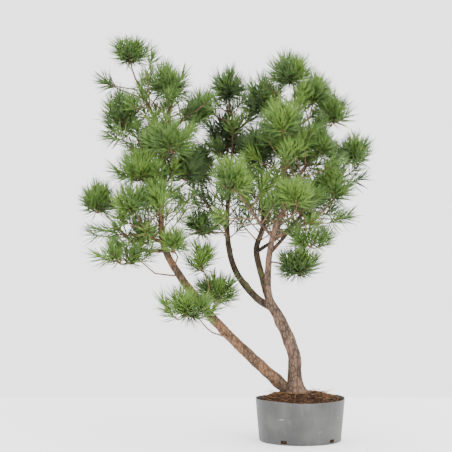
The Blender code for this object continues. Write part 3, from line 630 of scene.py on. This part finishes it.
def frames_along(route, first_side=None):
    """A direction and two crossing unit vectors at each point, turning as little as they can."""
    frames = []
    side = first_side
    for i, point in enumerate(route):
        ahead = route[min(i + 1, len(route) - 1)] - route[max(i - 1, 0)]
        ahead.normalize()
        if side is None:
            side = ahead.orthogonal()
        side = (side - ahead * side.dot(ahead)).normalized()
        frames.append((point, ahead, side, ahead.cross(side)))
    return frames


def skin_rings(bm, rings):
    """Faces between rings of the same number of points, closed at both ends."""
    sides = len(rings[0])
    for low, high in zip(rings, rings[1:]):
        for k in range(sides):
            n = (k + 1) % sides
            bm.faces.new((low[k], low[n], high[n], high[k]))
    bm.faces.new(rings[0][::-1])
    bm.faces.new(rings[-1])


# Bark.

def bark_relief(place, radius, seed):
    """How far the bark stands out there: plates drawn out along the limb, and a fine grain."""
    stretched = Vector((place.x, place.y, place.z * BARK_STRETCH))
    broad = noise.noise(stretched * SWELLS + Vector((seed, 0, 0)))
    plates = noise.noise(stretched * PLATES + Vector((0, seed, 0)))
    fine = noise.noise(stretched * GRAIN)
    size = min(1.0, radius / FULL_RELIEF_RADIUS)
    return (radius * SWELL_SHARE * broad
            + size * (PLATE_HEIGHT * max(0.0, plates) + GRAIN_HEIGHT * fine))


def limb_piece(name, limb, material, slot):
    """A limb's own mesh with the bark's relief, from the same route and taper as its solid."""
    sides = STEM_SIDES if name in STEMS else BOUGH_SIDES
    route = smooth_route(limb.route, BARK_STEP)
    shares = [1.0] * len(route)
    if name == "trunk":
        ahead = (route[-1] - route[-2]).normalized()
        route += [route[-1] + ahead * on for on, _ in FORK_ROUNDING]
        shares += [share for _, share in FORK_ROUNDING]
    ways = way_fractions(route)
    length = len(route) * BARK_STEP
    seed = random.Random(name).uniform(0.0, 50.0)
    rng = random.Random(name + " knots")
    knobs = [(rng.uniform(*KNOB_PLACES), rng.uniform(0, 2 * math.pi), rng.uniform(*KNOB_HEIGHTS))
             for _ in range(max(2, round(length / KNOB_EVERY)))]
    bm = bmesh.new()
    rings = []
    for i, (point, _, side, over) in enumerate(frames_along(route, Vector((1.0, 0.0, 0.0)))):
        radius = (limb.foot + (limb.tip - limb.foot) * ways[i]) * shares[i]
        fading = math.exp(-(point.z - GROUND) / FLARE_HEIGHT)
        ring = []
        for k in range(sides):
            angle = 2 * math.pi * k / sides
            out = side * math.cos(angle) + over * math.sin(angle)
            reach = radius
            if name == "trunk":
                for azimuth, swelling in ROOTS:
                    facing = max(0.0, math.cos(angle - math.radians(azimuth)))
                    reach += swelling * facing ** ROOT_SHARPNESS * fading
            for way, turn, height in knobs:
                near = math.exp(-((ways[i] - way) * length / (radius * KNOB_REACH)) ** 2)
                reach += radius * height * near * max(0.0, math.cos(angle - turn)) ** 2
            reach += bark_relief(point + out * reach, radius, seed)
            ring.append(bm.verts.new(point + out * reach))
        rings.append(ring)
    skin_rings(bm, rings)
    return finish_piece(object_of("bark_" + name, bm), material, slot, name)


# The pot and the soil.

def pot_radius(height):
    """The outer radius of the pot's tapering wall."""
    return POT_BASE_RADIUS + (POT_RIM_RADIUS - POT_BASE_RADIUS) * height / POT_HEIGHT


def turned(name, profile, lift):
    """A closed solid turned round Z from (radius, height) points that start and end on it.

    What lift gives for a point, from its index in the profile and its angle, is added to it.
    """
    bm = bmesh.new()
    rings = []
    for i, (radius, height) in enumerate(profile):
        ring = []
        for k in range(1 if radius == 0.0 else POT_SIDES):
            angle = 2 * math.pi * k / POT_SIDES
            place = around(angle, radius, height)
            ring.append(bm.verts.new(place + lift(i, angle, place)))
        rings.append(ring)
    for low, high in zip(rings, rings[1:]):
        for k in range(POT_SIDES):
            n = (k + 1) % POT_SIDES
            if len(low) == 1:
                bm.faces.new((low[0], high[n], high[k]))
            elif len(high) == 1:
                bm.faces.new((low[k], low[n], high[0]))
            else:
                bm.faces.new((low[k], low[n], high[n], high[k]))
    return object_of(name, bm)


def slot_cutter():
    """The drain slots' blocks, low in the wall, as one object."""
    bm = bmesh.new()
    for k in range(SLOT_COUNT):
        angle = math.radians(SLOT_FIRST_ANGLE + k * 360.0 / SLOT_COUNT)
        for vert in bmesh.ops.create_cube(bm, size=1.0)["verts"]:
            x, y, z = (part * size for part, size in zip(vert.co, SLOT_SIZE))
            x += pot_radius(SLOT_HEIGHT)
            vert.co = (x * math.cos(angle) - y * math.sin(angle),
                       x * math.sin(angle) + y * math.cos(angle), z + SLOT_HEIGHT)
    return object_of("slots", bm, smooth=False)


def make_pot():
    """The thin tub: up its outside, over the cut rim and down its inside."""
    profile = [(0.0, 0.0)] + [(POT_BASE_RADIUS - inset, height) for inset, height in FOOT_BEVEL]
    for k in range(WALL_LEVELS + 1):
        height = WALL_FOOT + (POT_HEIGHT - WALL_FOOT) * k / WALL_LEVELS
        profile.append((pot_radius(height), height))
    for k in range(WALL_LEVELS + 1):
        height = POT_HEIGHT - (POT_HEIGHT - POT_FLOOR) * k / WALL_LEVELS
        profile.append((pot_radius(height) - POT_WALL, height))
    profile.append((0.0, POT_FLOOR))

    def lift(index, angle, place):
        out = around(angle, 1.0)
        wave = RIM_WAVE * sum(share * math.sin(times * angle + phase)
                              for share, times, phase in RIM_WAVES)
        nicks = RIM_NICK * noise.noise(out * NICK_FINENESS)
        rim = max(0.0, (place.z - RIM_ABOVE) / (POT_HEIGHT - RIM_ABOVE))
        bulge = BULGE * noise.noise(place * BULGE_FINENESS) if place.z > BULGE_ABOVE else 0.0
        return out * bulge + UP * ((wave + nicks) * rim)

    pot = turned("pot_shell", profile, lift)
    cutter = slot_cutter()
    cut = pot.modifiers.new("slots", "BOOLEAN")
    cut.operation = "DIFFERENCE"
    cut.object = cutter
    freeze(pot)
    bpy.data.objects.remove(cutter, do_unlink=True)
    pot.data.set_sharp_from_angle(angle=math.radians(SHARP_EDGE))
    return finish_piece(pot, pot_material(), "pot_plastic", "pot")


def freeze(thing):
    """Replaces an object's mesh by what its modifiers make of it, and drops them."""
    graph = bpy.context.evaluated_depsgraph_get()
    mesh = bpy.data.meshes.new_from_object(thing.evaluated_get(graph))
    thing.modifiers.clear()
    thing.data = mesh


def soil_level(radius):
    """Height of the soil's smooth top at a distance from the pot's axis."""
    edge = pot_radius(SOIL_EDGE_LEVEL) - POT_WALL
    if radius <= SOIL_TOP_RADIUS:
        return GROUND
    way = (edge - radius) / (edge - SOIL_TOP_RADIUS)
    return SOIL_EDGE_LEVEL + (GROUND - SOIL_EDGE_LEVEL) * math.sin(max(0.0, way) * math.pi / 2)


def make_soil():
    """The soil's body, its top lumpy but for the edge that meets the pot."""
    edge = pot_radius(SOIL_EDGE_LEVEL) - POT_WALL
    bottom = POT_FLOOR + SOIL_FLOOR_GAP
    profile = [(0.0, bottom), (pot_radius(POT_FLOOR) - POT_WALL - SOIL_WALL_GAP, bottom),
               (edge - SOIL_WALL_GAP, SOIL_EDGE_LEVEL)]
    first_top = len(profile)
    for k in range(1, SOIL_RINGS):
        radius = edge * (1 - k / SOIL_RINGS)
        profile.append((radius, soil_level(radius)))
    profile.append((0.0, GROUND))

    def lift(index, angle, place):
        if index < first_top:
            return Vector()
        lumps = sum(height * noise.noise(place * fineness) for height, fineness in SOIL_LUMPS)
        fade = min(1.0, (edge - math.hypot(place.x, place.y)) / SOIL_SMOOTH_EDGE)
        return UP * ((lumps - SOIL_SUNK) * fade)

    soil = turned("soil_mound", profile, lift)
    return finish_piece(soil, soil_material(), "potting_soil", "soil")


# Geometry Nodes: copies of a shape on marked points.

def scatter_tree():
    """Copies a shape onto points, each turned to its point's facing and sized at random."""
    tree = bpy.data.node_groups.new("copies_on_points", "GeometryNodeTree")
    face = tree.interface
    face.new_socket("Geometry", in_out="INPUT", socket_type="NodeSocketGeometry")
    for name, kind in (("Shape", "Object"), ("Smallest", "Float"), ("Largest", "Float"),
                       ("Seed", "Int"), ("Finish", "Material")):
        face.new_socket(name, in_out="INPUT", socket_type="NodeSocket" + kind)
    face.new_socket("Geometry", in_out="OUTPUT", socket_type="NodeSocketGeometry")

    def node(kind, settings=None, **inputs):
        return add_node(tree, kind, settings, **inputs)

    given = node("NodeGroupInput").outputs
    facing = node("GeometryNodeInputNamedAttribute", {"data_type": "FLOAT_VECTOR"}, Name="facing")
    turned_to = node("FunctionNodeAlignRotationToVector", {"axis": "Z"},
                     Vector=facing.outputs["Attribute"])
    size = node("FunctionNodeRandomValue", {"data_type": "FLOAT"}, n2=given["Smallest"],
                n3=given["Largest"], Seed=given["Seed"])
    shape = node("GeometryNodeObjectInfo", Object=given["Shape"])
    copies = node("GeometryNodeInstanceOnPoints", Points=given["Geometry"],
                  Instance=shape.outputs["Geometry"], Rotation=turned_to.outputs["Rotation"],
                  Scale=size.outputs[1])
    real = node("GeometryNodeRealizeInstances", Geometry=copies.outputs["Instances"])
    painted = node("GeometryNodeSetMaterial", Geometry=real.outputs["Geometry"],
                   Material=given["Finish"])
    node("NodeGroupOutput", Geometry=painted.outputs["Geometry"])
    return tree


def scattered(name, places, shape, sizes, seed, material, slot):
    """One piece of many copies of a shape. Places are (point, facing) pairs."""
    mesh = bpy.data.meshes.new(name)
    mesh.from_pydata([tuple(point) for point, _ in places], [], [])
    facing = mesh.attributes.new("facing", "FLOAT_VECTOR", "POINT")
    facing.data.foreach_set("vector", [part for _, way in places for part in way])
    thing = placed(name, mesh)
    modifier = thing.modifiers.new("copies", "NODES")
    tree = bpy.data.node_groups.get("copies_on_points") or scatter_tree()
    modifier.node_group = tree
    values = {"Shape": shape, "Smallest": sizes[0], "Largest": sizes[1], "Seed": seed,
              "Finish": material}
    for item in tree.interface.items_tree:
        if item.in_out == "INPUT" and item.name in values:
            modifier[item.identifier] = values[item.name]
    freeze(thing)
    bpy.data.objects.remove(shape, do_unlink=True)
    thing.data.shade_smooth()
    return finish_piece(thing, material, slot)


def clod_shape():
    """A small uneven lump, a little flat."""
    bm = bmesh.new()
    bmesh.ops.create_icosphere(bm, subdivisions=1, radius=1.0)
    for vert in bm.verts:
        vert.co *= 1.0 + 0.5 * noise.noise(vert.co * 1.7)
        vert.co.z *= 0.75
    return object_of("clod", bm)


def spindle_shape(name, sides, profile):
    """A slim turned shape along +Z from (radius, height) points, closed at both ends."""
    bm = bmesh.new()
    rings = []
    for radius, height in profile:
        rings.append([bm.verts.new(around(2 * math.pi * k / sides, radius, height))
                      for k in range(sides)])
    skin_rings(bm, rings)
    return object_of(name, bm)


# The foliage, grown by the source's rule with more and finer shoots.

class Space:
    """The ellipsoid that shoots keep to, and the limbs that pass through it."""

    def __init__(self, centre, radii, limbs):
        self.centre = Vector(centre)
        self.radii = Vector(radii)
        self.limbs = limbs

    def depth(self, point):
        """0 at the centre, 1 on the skin."""
        return Vector([away / radius for away, radius in zip(point - self.centre, self.radii)]).length

    def is_clear(self, point, margin):
        """Whether every limb's bark is further away than the margin."""
        return self.limbs.find_nearest(point, margin)[0] is None

    def holds(self, point):
        """Whether a needle may end here: near the mass, and inside the model's box."""
        low, high = CAD_BOX
        in_box = all(low[k] - BOX_SLACK < point[k] < high[k] + BOX_SLACK for k in range(3))
        return in_box and self.depth(point) < SPACE_SLACK


def leave_point(mass):
    """Where a mass's stem meets its carrier, and the way it starts."""
    route = smooth_route(LIMBS[mass.carrier].route, BARK_STEP)
    if mass.along >= 1.0:
        return route[-1], (route[-1] - route[-2]).normalized()
    ways = way_fractions(route)
    index = min(range(len(ways)), key=lambda i: abs(ways[i] - mass.along))
    along = (route[index] - route[index - 1]).normalized()
    outward = Vector(mass.centre) - route[index]
    outward = (outward - along * outward.dot(along)).normalized()
    return route[index] + outward * LEAVE_GAP, outward


def shoot_goals(mass, rng):
    """Golden-angle places through the upper part of the space, as in the solids but more."""
    goals = []
    count = round(mass.shoots * SHOOTS_TO_ONE) + 1
    phase = rng.uniform(0.0, 2 * math.pi)
    centre = Vector(mass.centre)
    for i in range(count):
        height = 1.0 - SHOOT_SPAN * (i + SHOOT_FIRST) / count
        out = around(phase + i * GOLDEN_ANGLE, math.sqrt(max(0.0, 1.0 - height * height)), height)
        reach = rng.uniform(*(DEEP_SHOOTS if i % 2 else SKIN_SHOOTS))
        inner = Vector([max(SHOOT_LEAST * r, r - TUFT_REACH) * reach for r in mass.radii])
        foot = centre + Vector([a * b for a, b in zip(out, inner)])
        facing = (out + UP * rng.uniform(*SHOOT_LIFT)).normalized()
        goals.append((foot - facing * SHOOT_BACK, facing))
    return goals


class Crown:
    """Gathers twigs, needles and buds of all the masses, then makes them into pieces."""

    def __init__(self):
        self.twigs = []
        self.needles = {kind: [] for kind in GREENS}
        self.buds = []

    def add_twig(self, points, radii, step=TWIG_STEP):
        self.twigs.append((smooth_route(points, step), *radii))

    def add_shoot(self, foot, facing, space, kind, rng, length, pairs):
        """A shoot that turns up as it goes, with pairs of needles spiralling round it."""
        side = facing.orthogonal().normalized()
        bend = (UP - facing * facing.z) * rng.uniform(*SHOOT_BEND)

        def along(t):
            return foot + (facing * t + bend * (t * t)) * length

        route = [along(k / SHOOT_STEPS) for k in range(SHOOT_STEPS + 1)]
        self.twigs.append((route, *SHOOT_RADII))
        self.buds.append((route[-1] - facing * BUD_SUNK, (route[-1] - route[-2]).normalized()))
        spin = rng.uniform(0.0, 2 * math.pi)
        for i in range(pairs):
            t = BARE_FOOT + (1 - BARE_FOOT) * (i + 0.5) / pairs
            point = along(t)
            ahead = (facing + bend * (2 * t)).normalized()
            across = (side - ahead * side.dot(ahead)).normalized()
            over = ahead.cross(across)
            angle = spin + i * GOLDEN_ANGLE
            out = across * math.cos(angle) + over * math.sin(angle)
            lean = math.radians(LEAN_AT_FOOT + (LEAN_AT_TIP - LEAN_AT_FOOT) * t ** LEAN_CURVE
                                + rng.gauss(0.0, LEAN_PLAY))
            way = ahead * math.cos(lean) + out * math.sin(lean)
            reach = NEEDLE_LENGTH * rng.uniform(*NEEDLE_LENGTHS)
            droop = ahead * NEEDLE_BEND - UP * rng.uniform(*NEEDLE_DROOP)
            tip = point + (way + droop) * reach
            middle = point + way * reach * 0.5
            if not (space.holds(tip) and space.is_clear(tip, TIP_MARGIN)
                    and space.is_clear(middle, MIDDLE_MARGIN)):
                continue
            twist = way.cross(out).normalized() * PAIR_SPREAD
            for turn in (1, -1):
                self.needles[kind].append((point, (way + twist * turn).normalized(), droop,
                                           reach * rng.uniform(*PAIR_LENGTHS)))

    def grow(self, name, mass, limbs):
        """One mass: a stem, twigs that leave the nearest grown point, and a shoot on each."""
        rng = random.Random(name)
        space = Space(mass.centre, mass.radii, limbs)
        start, ahead = leave_point(mass)
        inward = space.centre - start
        straight = min(STRAIGHT_SHARE * inward.length, STRAIGHT_MOST)
        hub = start + ahead * straight + inward * HUB_WAY
        self.add_twig([start, start + ahead * COLLAR, hub], STEM_TWIG_RADII, STEM_TWIG_STEP)
        grown = [(hub, 0.0)]
        goals = sorted(shoot_goals(mass, rng), key=lambda goal: (goal[0] - start).length)
        for foot, facing in goals:
            base, travelled = min(
                grown, key=lambda place: (place[0] - foot).length + DETOUR_COST * place[1])
            span = (foot - base).length
            if not space.is_clear(foot + facing * SHOOT_MIDDLE, SHOOT_MARGIN):
                continue
            kind = green_of(name, foot, facing, rng)
            if span > SHORTEST_TWIG:
                stray = Vector([rng.uniform(-TWIG_STRAY, TWIG_STRAY) * span for _ in range(3)])
                bend = base.lerp(foot, 0.5) - UP * TWIG_SAG * span + stray
                self.add_twig([base, bend, foot, foot + facing * TWIG_OVERLAP], TWIG_RADII)
                grown.append((bend, travelled + span * 0.5))
            grown.append((foot, travelled + span))
            self.add_shoot(foot, facing, space, kind, rng,
                           SHOOT_LENGTH * rng.uniform(*SHOOT_LENGTHS), PAIRS_PER_SHOOT)

    def grow_along(self, name, limb, limbs):
        """Short side shoots round the upper part of a limb, which fill the crown between masses."""
        rng = random.Random(name + " side shoots")
        route = smooth_route(limb.route, SIDE_SHOOT_STEP)
        first, last = SIDE_SHOOT_PART
        for i, (way, frame_there) in enumerate(zip(way_fractions(route), frames_along(route))):
            point, ahead, side, over = frame_there
            if point.z < SIDE_SHOOTS_ABOVE or not first <= way <= last:
                continue
            space = Space(point, SIDE_SHOOT_SPACE, limbs)
            for turn in SIDE_SHOOT_TURNS:
                angle = i * GOLDEN_ANGLE + turn + rng.uniform(-SIDE_SHOOT_PLAY, SIDE_SHOOT_PLAY)
                out = side * math.cos(angle) + over * math.sin(angle)
                lift = UP * rng.uniform(*SIDE_SHOOT_LIFT)
                facing = (out + ahead * SIDE_SHOOT_LEAN + lift).normalized()
                span = rng.uniform(*SIDE_SHOOT_SPAN)
                foot = point + facing * span
                if not (space.is_clear(foot + facing * SHOOT_MIDDLE, SHOOT_MARGIN)
                        and space.holds(foot + facing * SIDE_SHOOT_TIP)):
                    continue
                self.add_twig([point, point + facing * span * 0.5, foot], TWIG_RADII)
                kind = green_of(name, foot, facing, rng)
                self.add_shoot(foot, facing, space, kind, rng,
                               SHOOT_LENGTH * rng.uniform(*SIDE_SHOOT_LENGTHS), SIDE_SHOOT_PAIRS)

    def make(self, nodes):
        """Joins what was gathered, each kind apart, into the pieces that stand for the masses."""
        twigs = object_of_arrays("twigs", *tubes_as_arrays(self.twigs, TWIG_SIDES))
        twig_bark = plain_material("twig_bark", rgb(128, 100, 76), rgb(92, 74, 56), 240.0, 0.8)
        finish_piece(twigs, twig_bark, "needles", *nodes)
        most = PIECE_TRIANGLES // len(NEEDLE_TRIANGLES)
        # Each kind of green is a level of painted light and shade on the needles.
        for kind, (base, other) in GREENS.items():
            material = needle_material("needles_" + kind, rgb(*base), rgb(*other))
            needles = self.needles[kind]
            for part, first in enumerate(range(0, len(needles), most)):
                piece = object_of_arrays(f"needles_{kind}_{part + 1}",
                                         *needles_as_arrays(needles[first:first + most]))
                finish_piece(piece, material, "needles", *nodes)
        bud = spindle_shape("bud", 6, ((0.6, 0.0), (1.0, 1.0), (0.75, 2.4), (0.15, 3.6)))
        scales = plain_material("bud_scales", rgb(150, 92, 58), rgb(120, 74, 52), 500.0, 0.7)
        scattered("buds", self.buds, bud, BUD_SIZES, 3, scales, "needles")


def tubes_as_arrays(tubes, sides):
    """Points and triangles of many closed tapering tubes."""
    points = []
    triangles = []
    angles = [2 * math.pi * k / sides for k in range(sides)]
    for route, foot, tip in tubes:
        first = len(points)
        ways = way_fractions(route)
        for (point, _, side, over), way in zip(frames_along(route), ways):
            radius = foot + (tip - foot) * way
            for angle in angles:
                points.append(point + side * (radius * math.cos(angle))
                              + over * (radius * math.sin(angle)))
        for i in range(len(route) - 1):
            low = first + i * sides
            high = low + sides
            for k in range(sides):
                n = (k + 1) % sides
                triangles.append((low + k, low + n, high + n))
                triangles.append((low + k, high + n, high + k))
        last = first + (len(route) - 1) * sides
        for k in range(1, sides - 1):
            triangles.append((first, first + k + 1, first + k))
            triangles.append((last, last + k, last + k + 1))
    return np.array([tuple(p) for p in points]), np.array(triangles)


def needles_as_arrays(needles):
    """Points and triangles of many needles, each a bent three-sided spike with a closed foot."""
    start = np.array([tuple(n[0]) for n in needles])
    way = np.array([tuple(n[1]) for n in needles])
    droop = np.array([tuple(n[2]) for n in needles])
    reach = np.array([n[3] for n in needles])[:, None]
    helper = np.where(np.abs(way[:, 2:3]) < 0.9, np.array([[0.0, 0.0, 1.0]]),
                      np.array([[1.0, 0.0, 0.0]]))
    side = np.cross(way, helper)
    side /= np.linalg.norm(side, axis=1)[:, None]
    over = np.cross(way, side)
    rings = []
    for share, width in NEEDLE_RINGS:
        middle = start + (way * share + droop * share * share) * reach
        for k in range(NEEDLE_SIDES):
            angle = 2 * math.pi * k / NEEDLE_SIDES
            out = side * math.cos(angle) + over * math.sin(angle)
            rings.append(middle + out * (NEEDLE_WIDTH * width))
    rings.append(start + (way + droop) * reach)
    points = np.stack(rings, axis=1).reshape(-1, 3)
    firsts = len(rings) * np.arange(len(needles))[:, None, None]
    return points, (np.array(NEEDLE_TRIANGLES)[None] + firsts).reshape(-1, 3)


def green_of(name, foot, facing, rng):
    """Painted light and shade: sprays get lighter greens at the front and the top, and darker behind
    and inside.
    """
    light = (LIGHT - foot.y * LIGHT_FORWARD + facing.z * LIGHT_UP
             + rng.uniform(-LIGHT_PLAY, LIGHT_PLAY))
    if name in SHADED_MASSES:
        light -= SHADE_LOSS
    return next((kind for kind, level in LIGHT_LEVELS.items() if light > level), "deep")


# The stage.

def make_stage():
    """A pale floor, soft lights and the camera."""
    bm = bmesh.new()
    bm.faces.new([bm.verts.new(corner) for corner in (
        (-FLOOR_REACH, -FLOOR_REACH, 0.0), (FLOOR_REACH, -FLOOR_REACH, 0.0),
        (FLOOR_REACH, FLOOR_BACK, 0.0), (-FLOOR_REACH, FLOOR_BACK, 0.0))])
    floor = object_of("floor", bm, smooth=False)
    look = Shading("pale_floor", roughness=0.7, specular=0.2)
    look.colour(rgb(250, 250, 251))
    feed(look.shader.inputs["Emission Color"], (1.0, 1.0, 1.0, 1.0))
    feed(look.shader.inputs["Emission Strength"], FLOOR_GLOW)
    floor.data.materials.append(look.material)
    for name, (place, size, power, aim) in LIGHTS.items():
        light = bpy.data.lights.new(name, "AREA")
        light.size = size
        light.energy = power
        lamp = placed(name, light)
        lamp.location = place
        lamp.rotation_euler = (Vector(aim) - Vector(place)).to_track_quat("-Z", "Y").to_euler()
    world = bpy.data.worlds.new("studio")
    world.use_nodes = True
    background = world.node_tree.nodes["Background"]
    feed(background.inputs["Color"], (1.0, 1.0, 1.0, 1.0))
    feed(background.inputs["Strength"], WORLD_STRENGTH)
    bpy.context.scene.world = world
    camera = bpy.data.cameras.new("camera")
    camera.lens = CAMERA_LENS
    camera.sensor_width = SENSOR
    eye = placed("camera", camera)
    eye.location = CAMERA_PLACE
    eye.rotation_euler = (math.radians(90.0 + CAMERA_PITCH), 0.0, 0.0)
    bpy.context.scene.camera = eye


def on_soil(rng, within, lift):
    """A random place on the soil, no further than that from the pot's axis."""
    radius = within * math.sqrt(rng.uniform(0.0, 1.0))
    return around(rng.uniform(0.0, 2 * math.pi), radius, soil_level(radius) + lift)


def make_litter():
    """Clods and crumbs of peat, and old needles fallen on the soil."""
    rng = random.Random("litter")
    clods = []
    for _ in range(CLODS):
        point = on_soil(rng, CLODS_WITHIN, CLOD_LIFT)
        way = Vector((rng.gauss(0, 1), rng.gauss(0, 1), rng.gauss(0, 1))).normalized()
        clods.append((point, way))
    scattered("soil_crumbs", clods, clod_shape(), CLOD_SIZES, 5, soil_material(), "potting_soil")
    fallen = []
    for _ in range(STRAWS):
        point = on_soil(rng, STRAWS_WITHIN, STRAW_LIFT)
        way = Vector((rng.gauss(0, 1), rng.gauss(0, 1), STRAW_RISE)).normalized()
        if (point + way * STRAW_LENGTH).xy.length < STRAW_TIP_WITHIN:
            fallen.append((point, way))
    straw = spindle_shape("straw", 4, ((0.0004, 0.0), (0.0005, 0.012), (0.0001, STRAW_LENGTH)))
    dry = plain_material("dry_needles", rgb(158, 118, 74), rgb(120, 86, 54), 300.0, 0.8)
    scattered("fallen_needles", fallen, straw, STRAW_SIZES, 7, dry, "potting_soil")


def main():
    make_stage()
    barks = {
        "orange_bark": bark_material("orange_bark", rgb(126, 93, 68), rgb(88, 72, 58),
                                     rgb(52, 39, 30)),
        "pink_bark": bark_material("pink_bark", rgb(124, 97, 80), rgb(90, 75, 64),
                                   rgb(54, 42, 34)),
        # Painted shade: a darker copy of the bark for the stems behind, with algae on it.
        "dark_bark": bark_material("dark_bark", rgb(84, 70, 54), rgb(64, 54, 43), rgb(38, 32, 26),
                                   rgb(98, 104, 58)),
    }
    pieces = [limb_piece(name, limb, barks[limb.bark], limb.bark) for name, limb in LIMBS.items()]
    make_pot()
    make_soil()
    make_litter()
    points = []
    faces = []
    for piece in pieces:
        first = len(points)
        points.extend(vert.co.copy() for vert in piece.data.vertices)
        faces.extend([first + v for v in polygon.vertices] for polygon in piece.data.polygons)
    limbs = BVHTree.FromPolygons(points, faces)
    crown = Crown()
    for name, mass in MASSES.items():
        crown.grow(name, mass, limbs)
    for name, limb in LIMBS.items():
        crown.grow_along(name, limb, limbs)
    crown.make(["foliage_" + name for name in MASSES])


main()
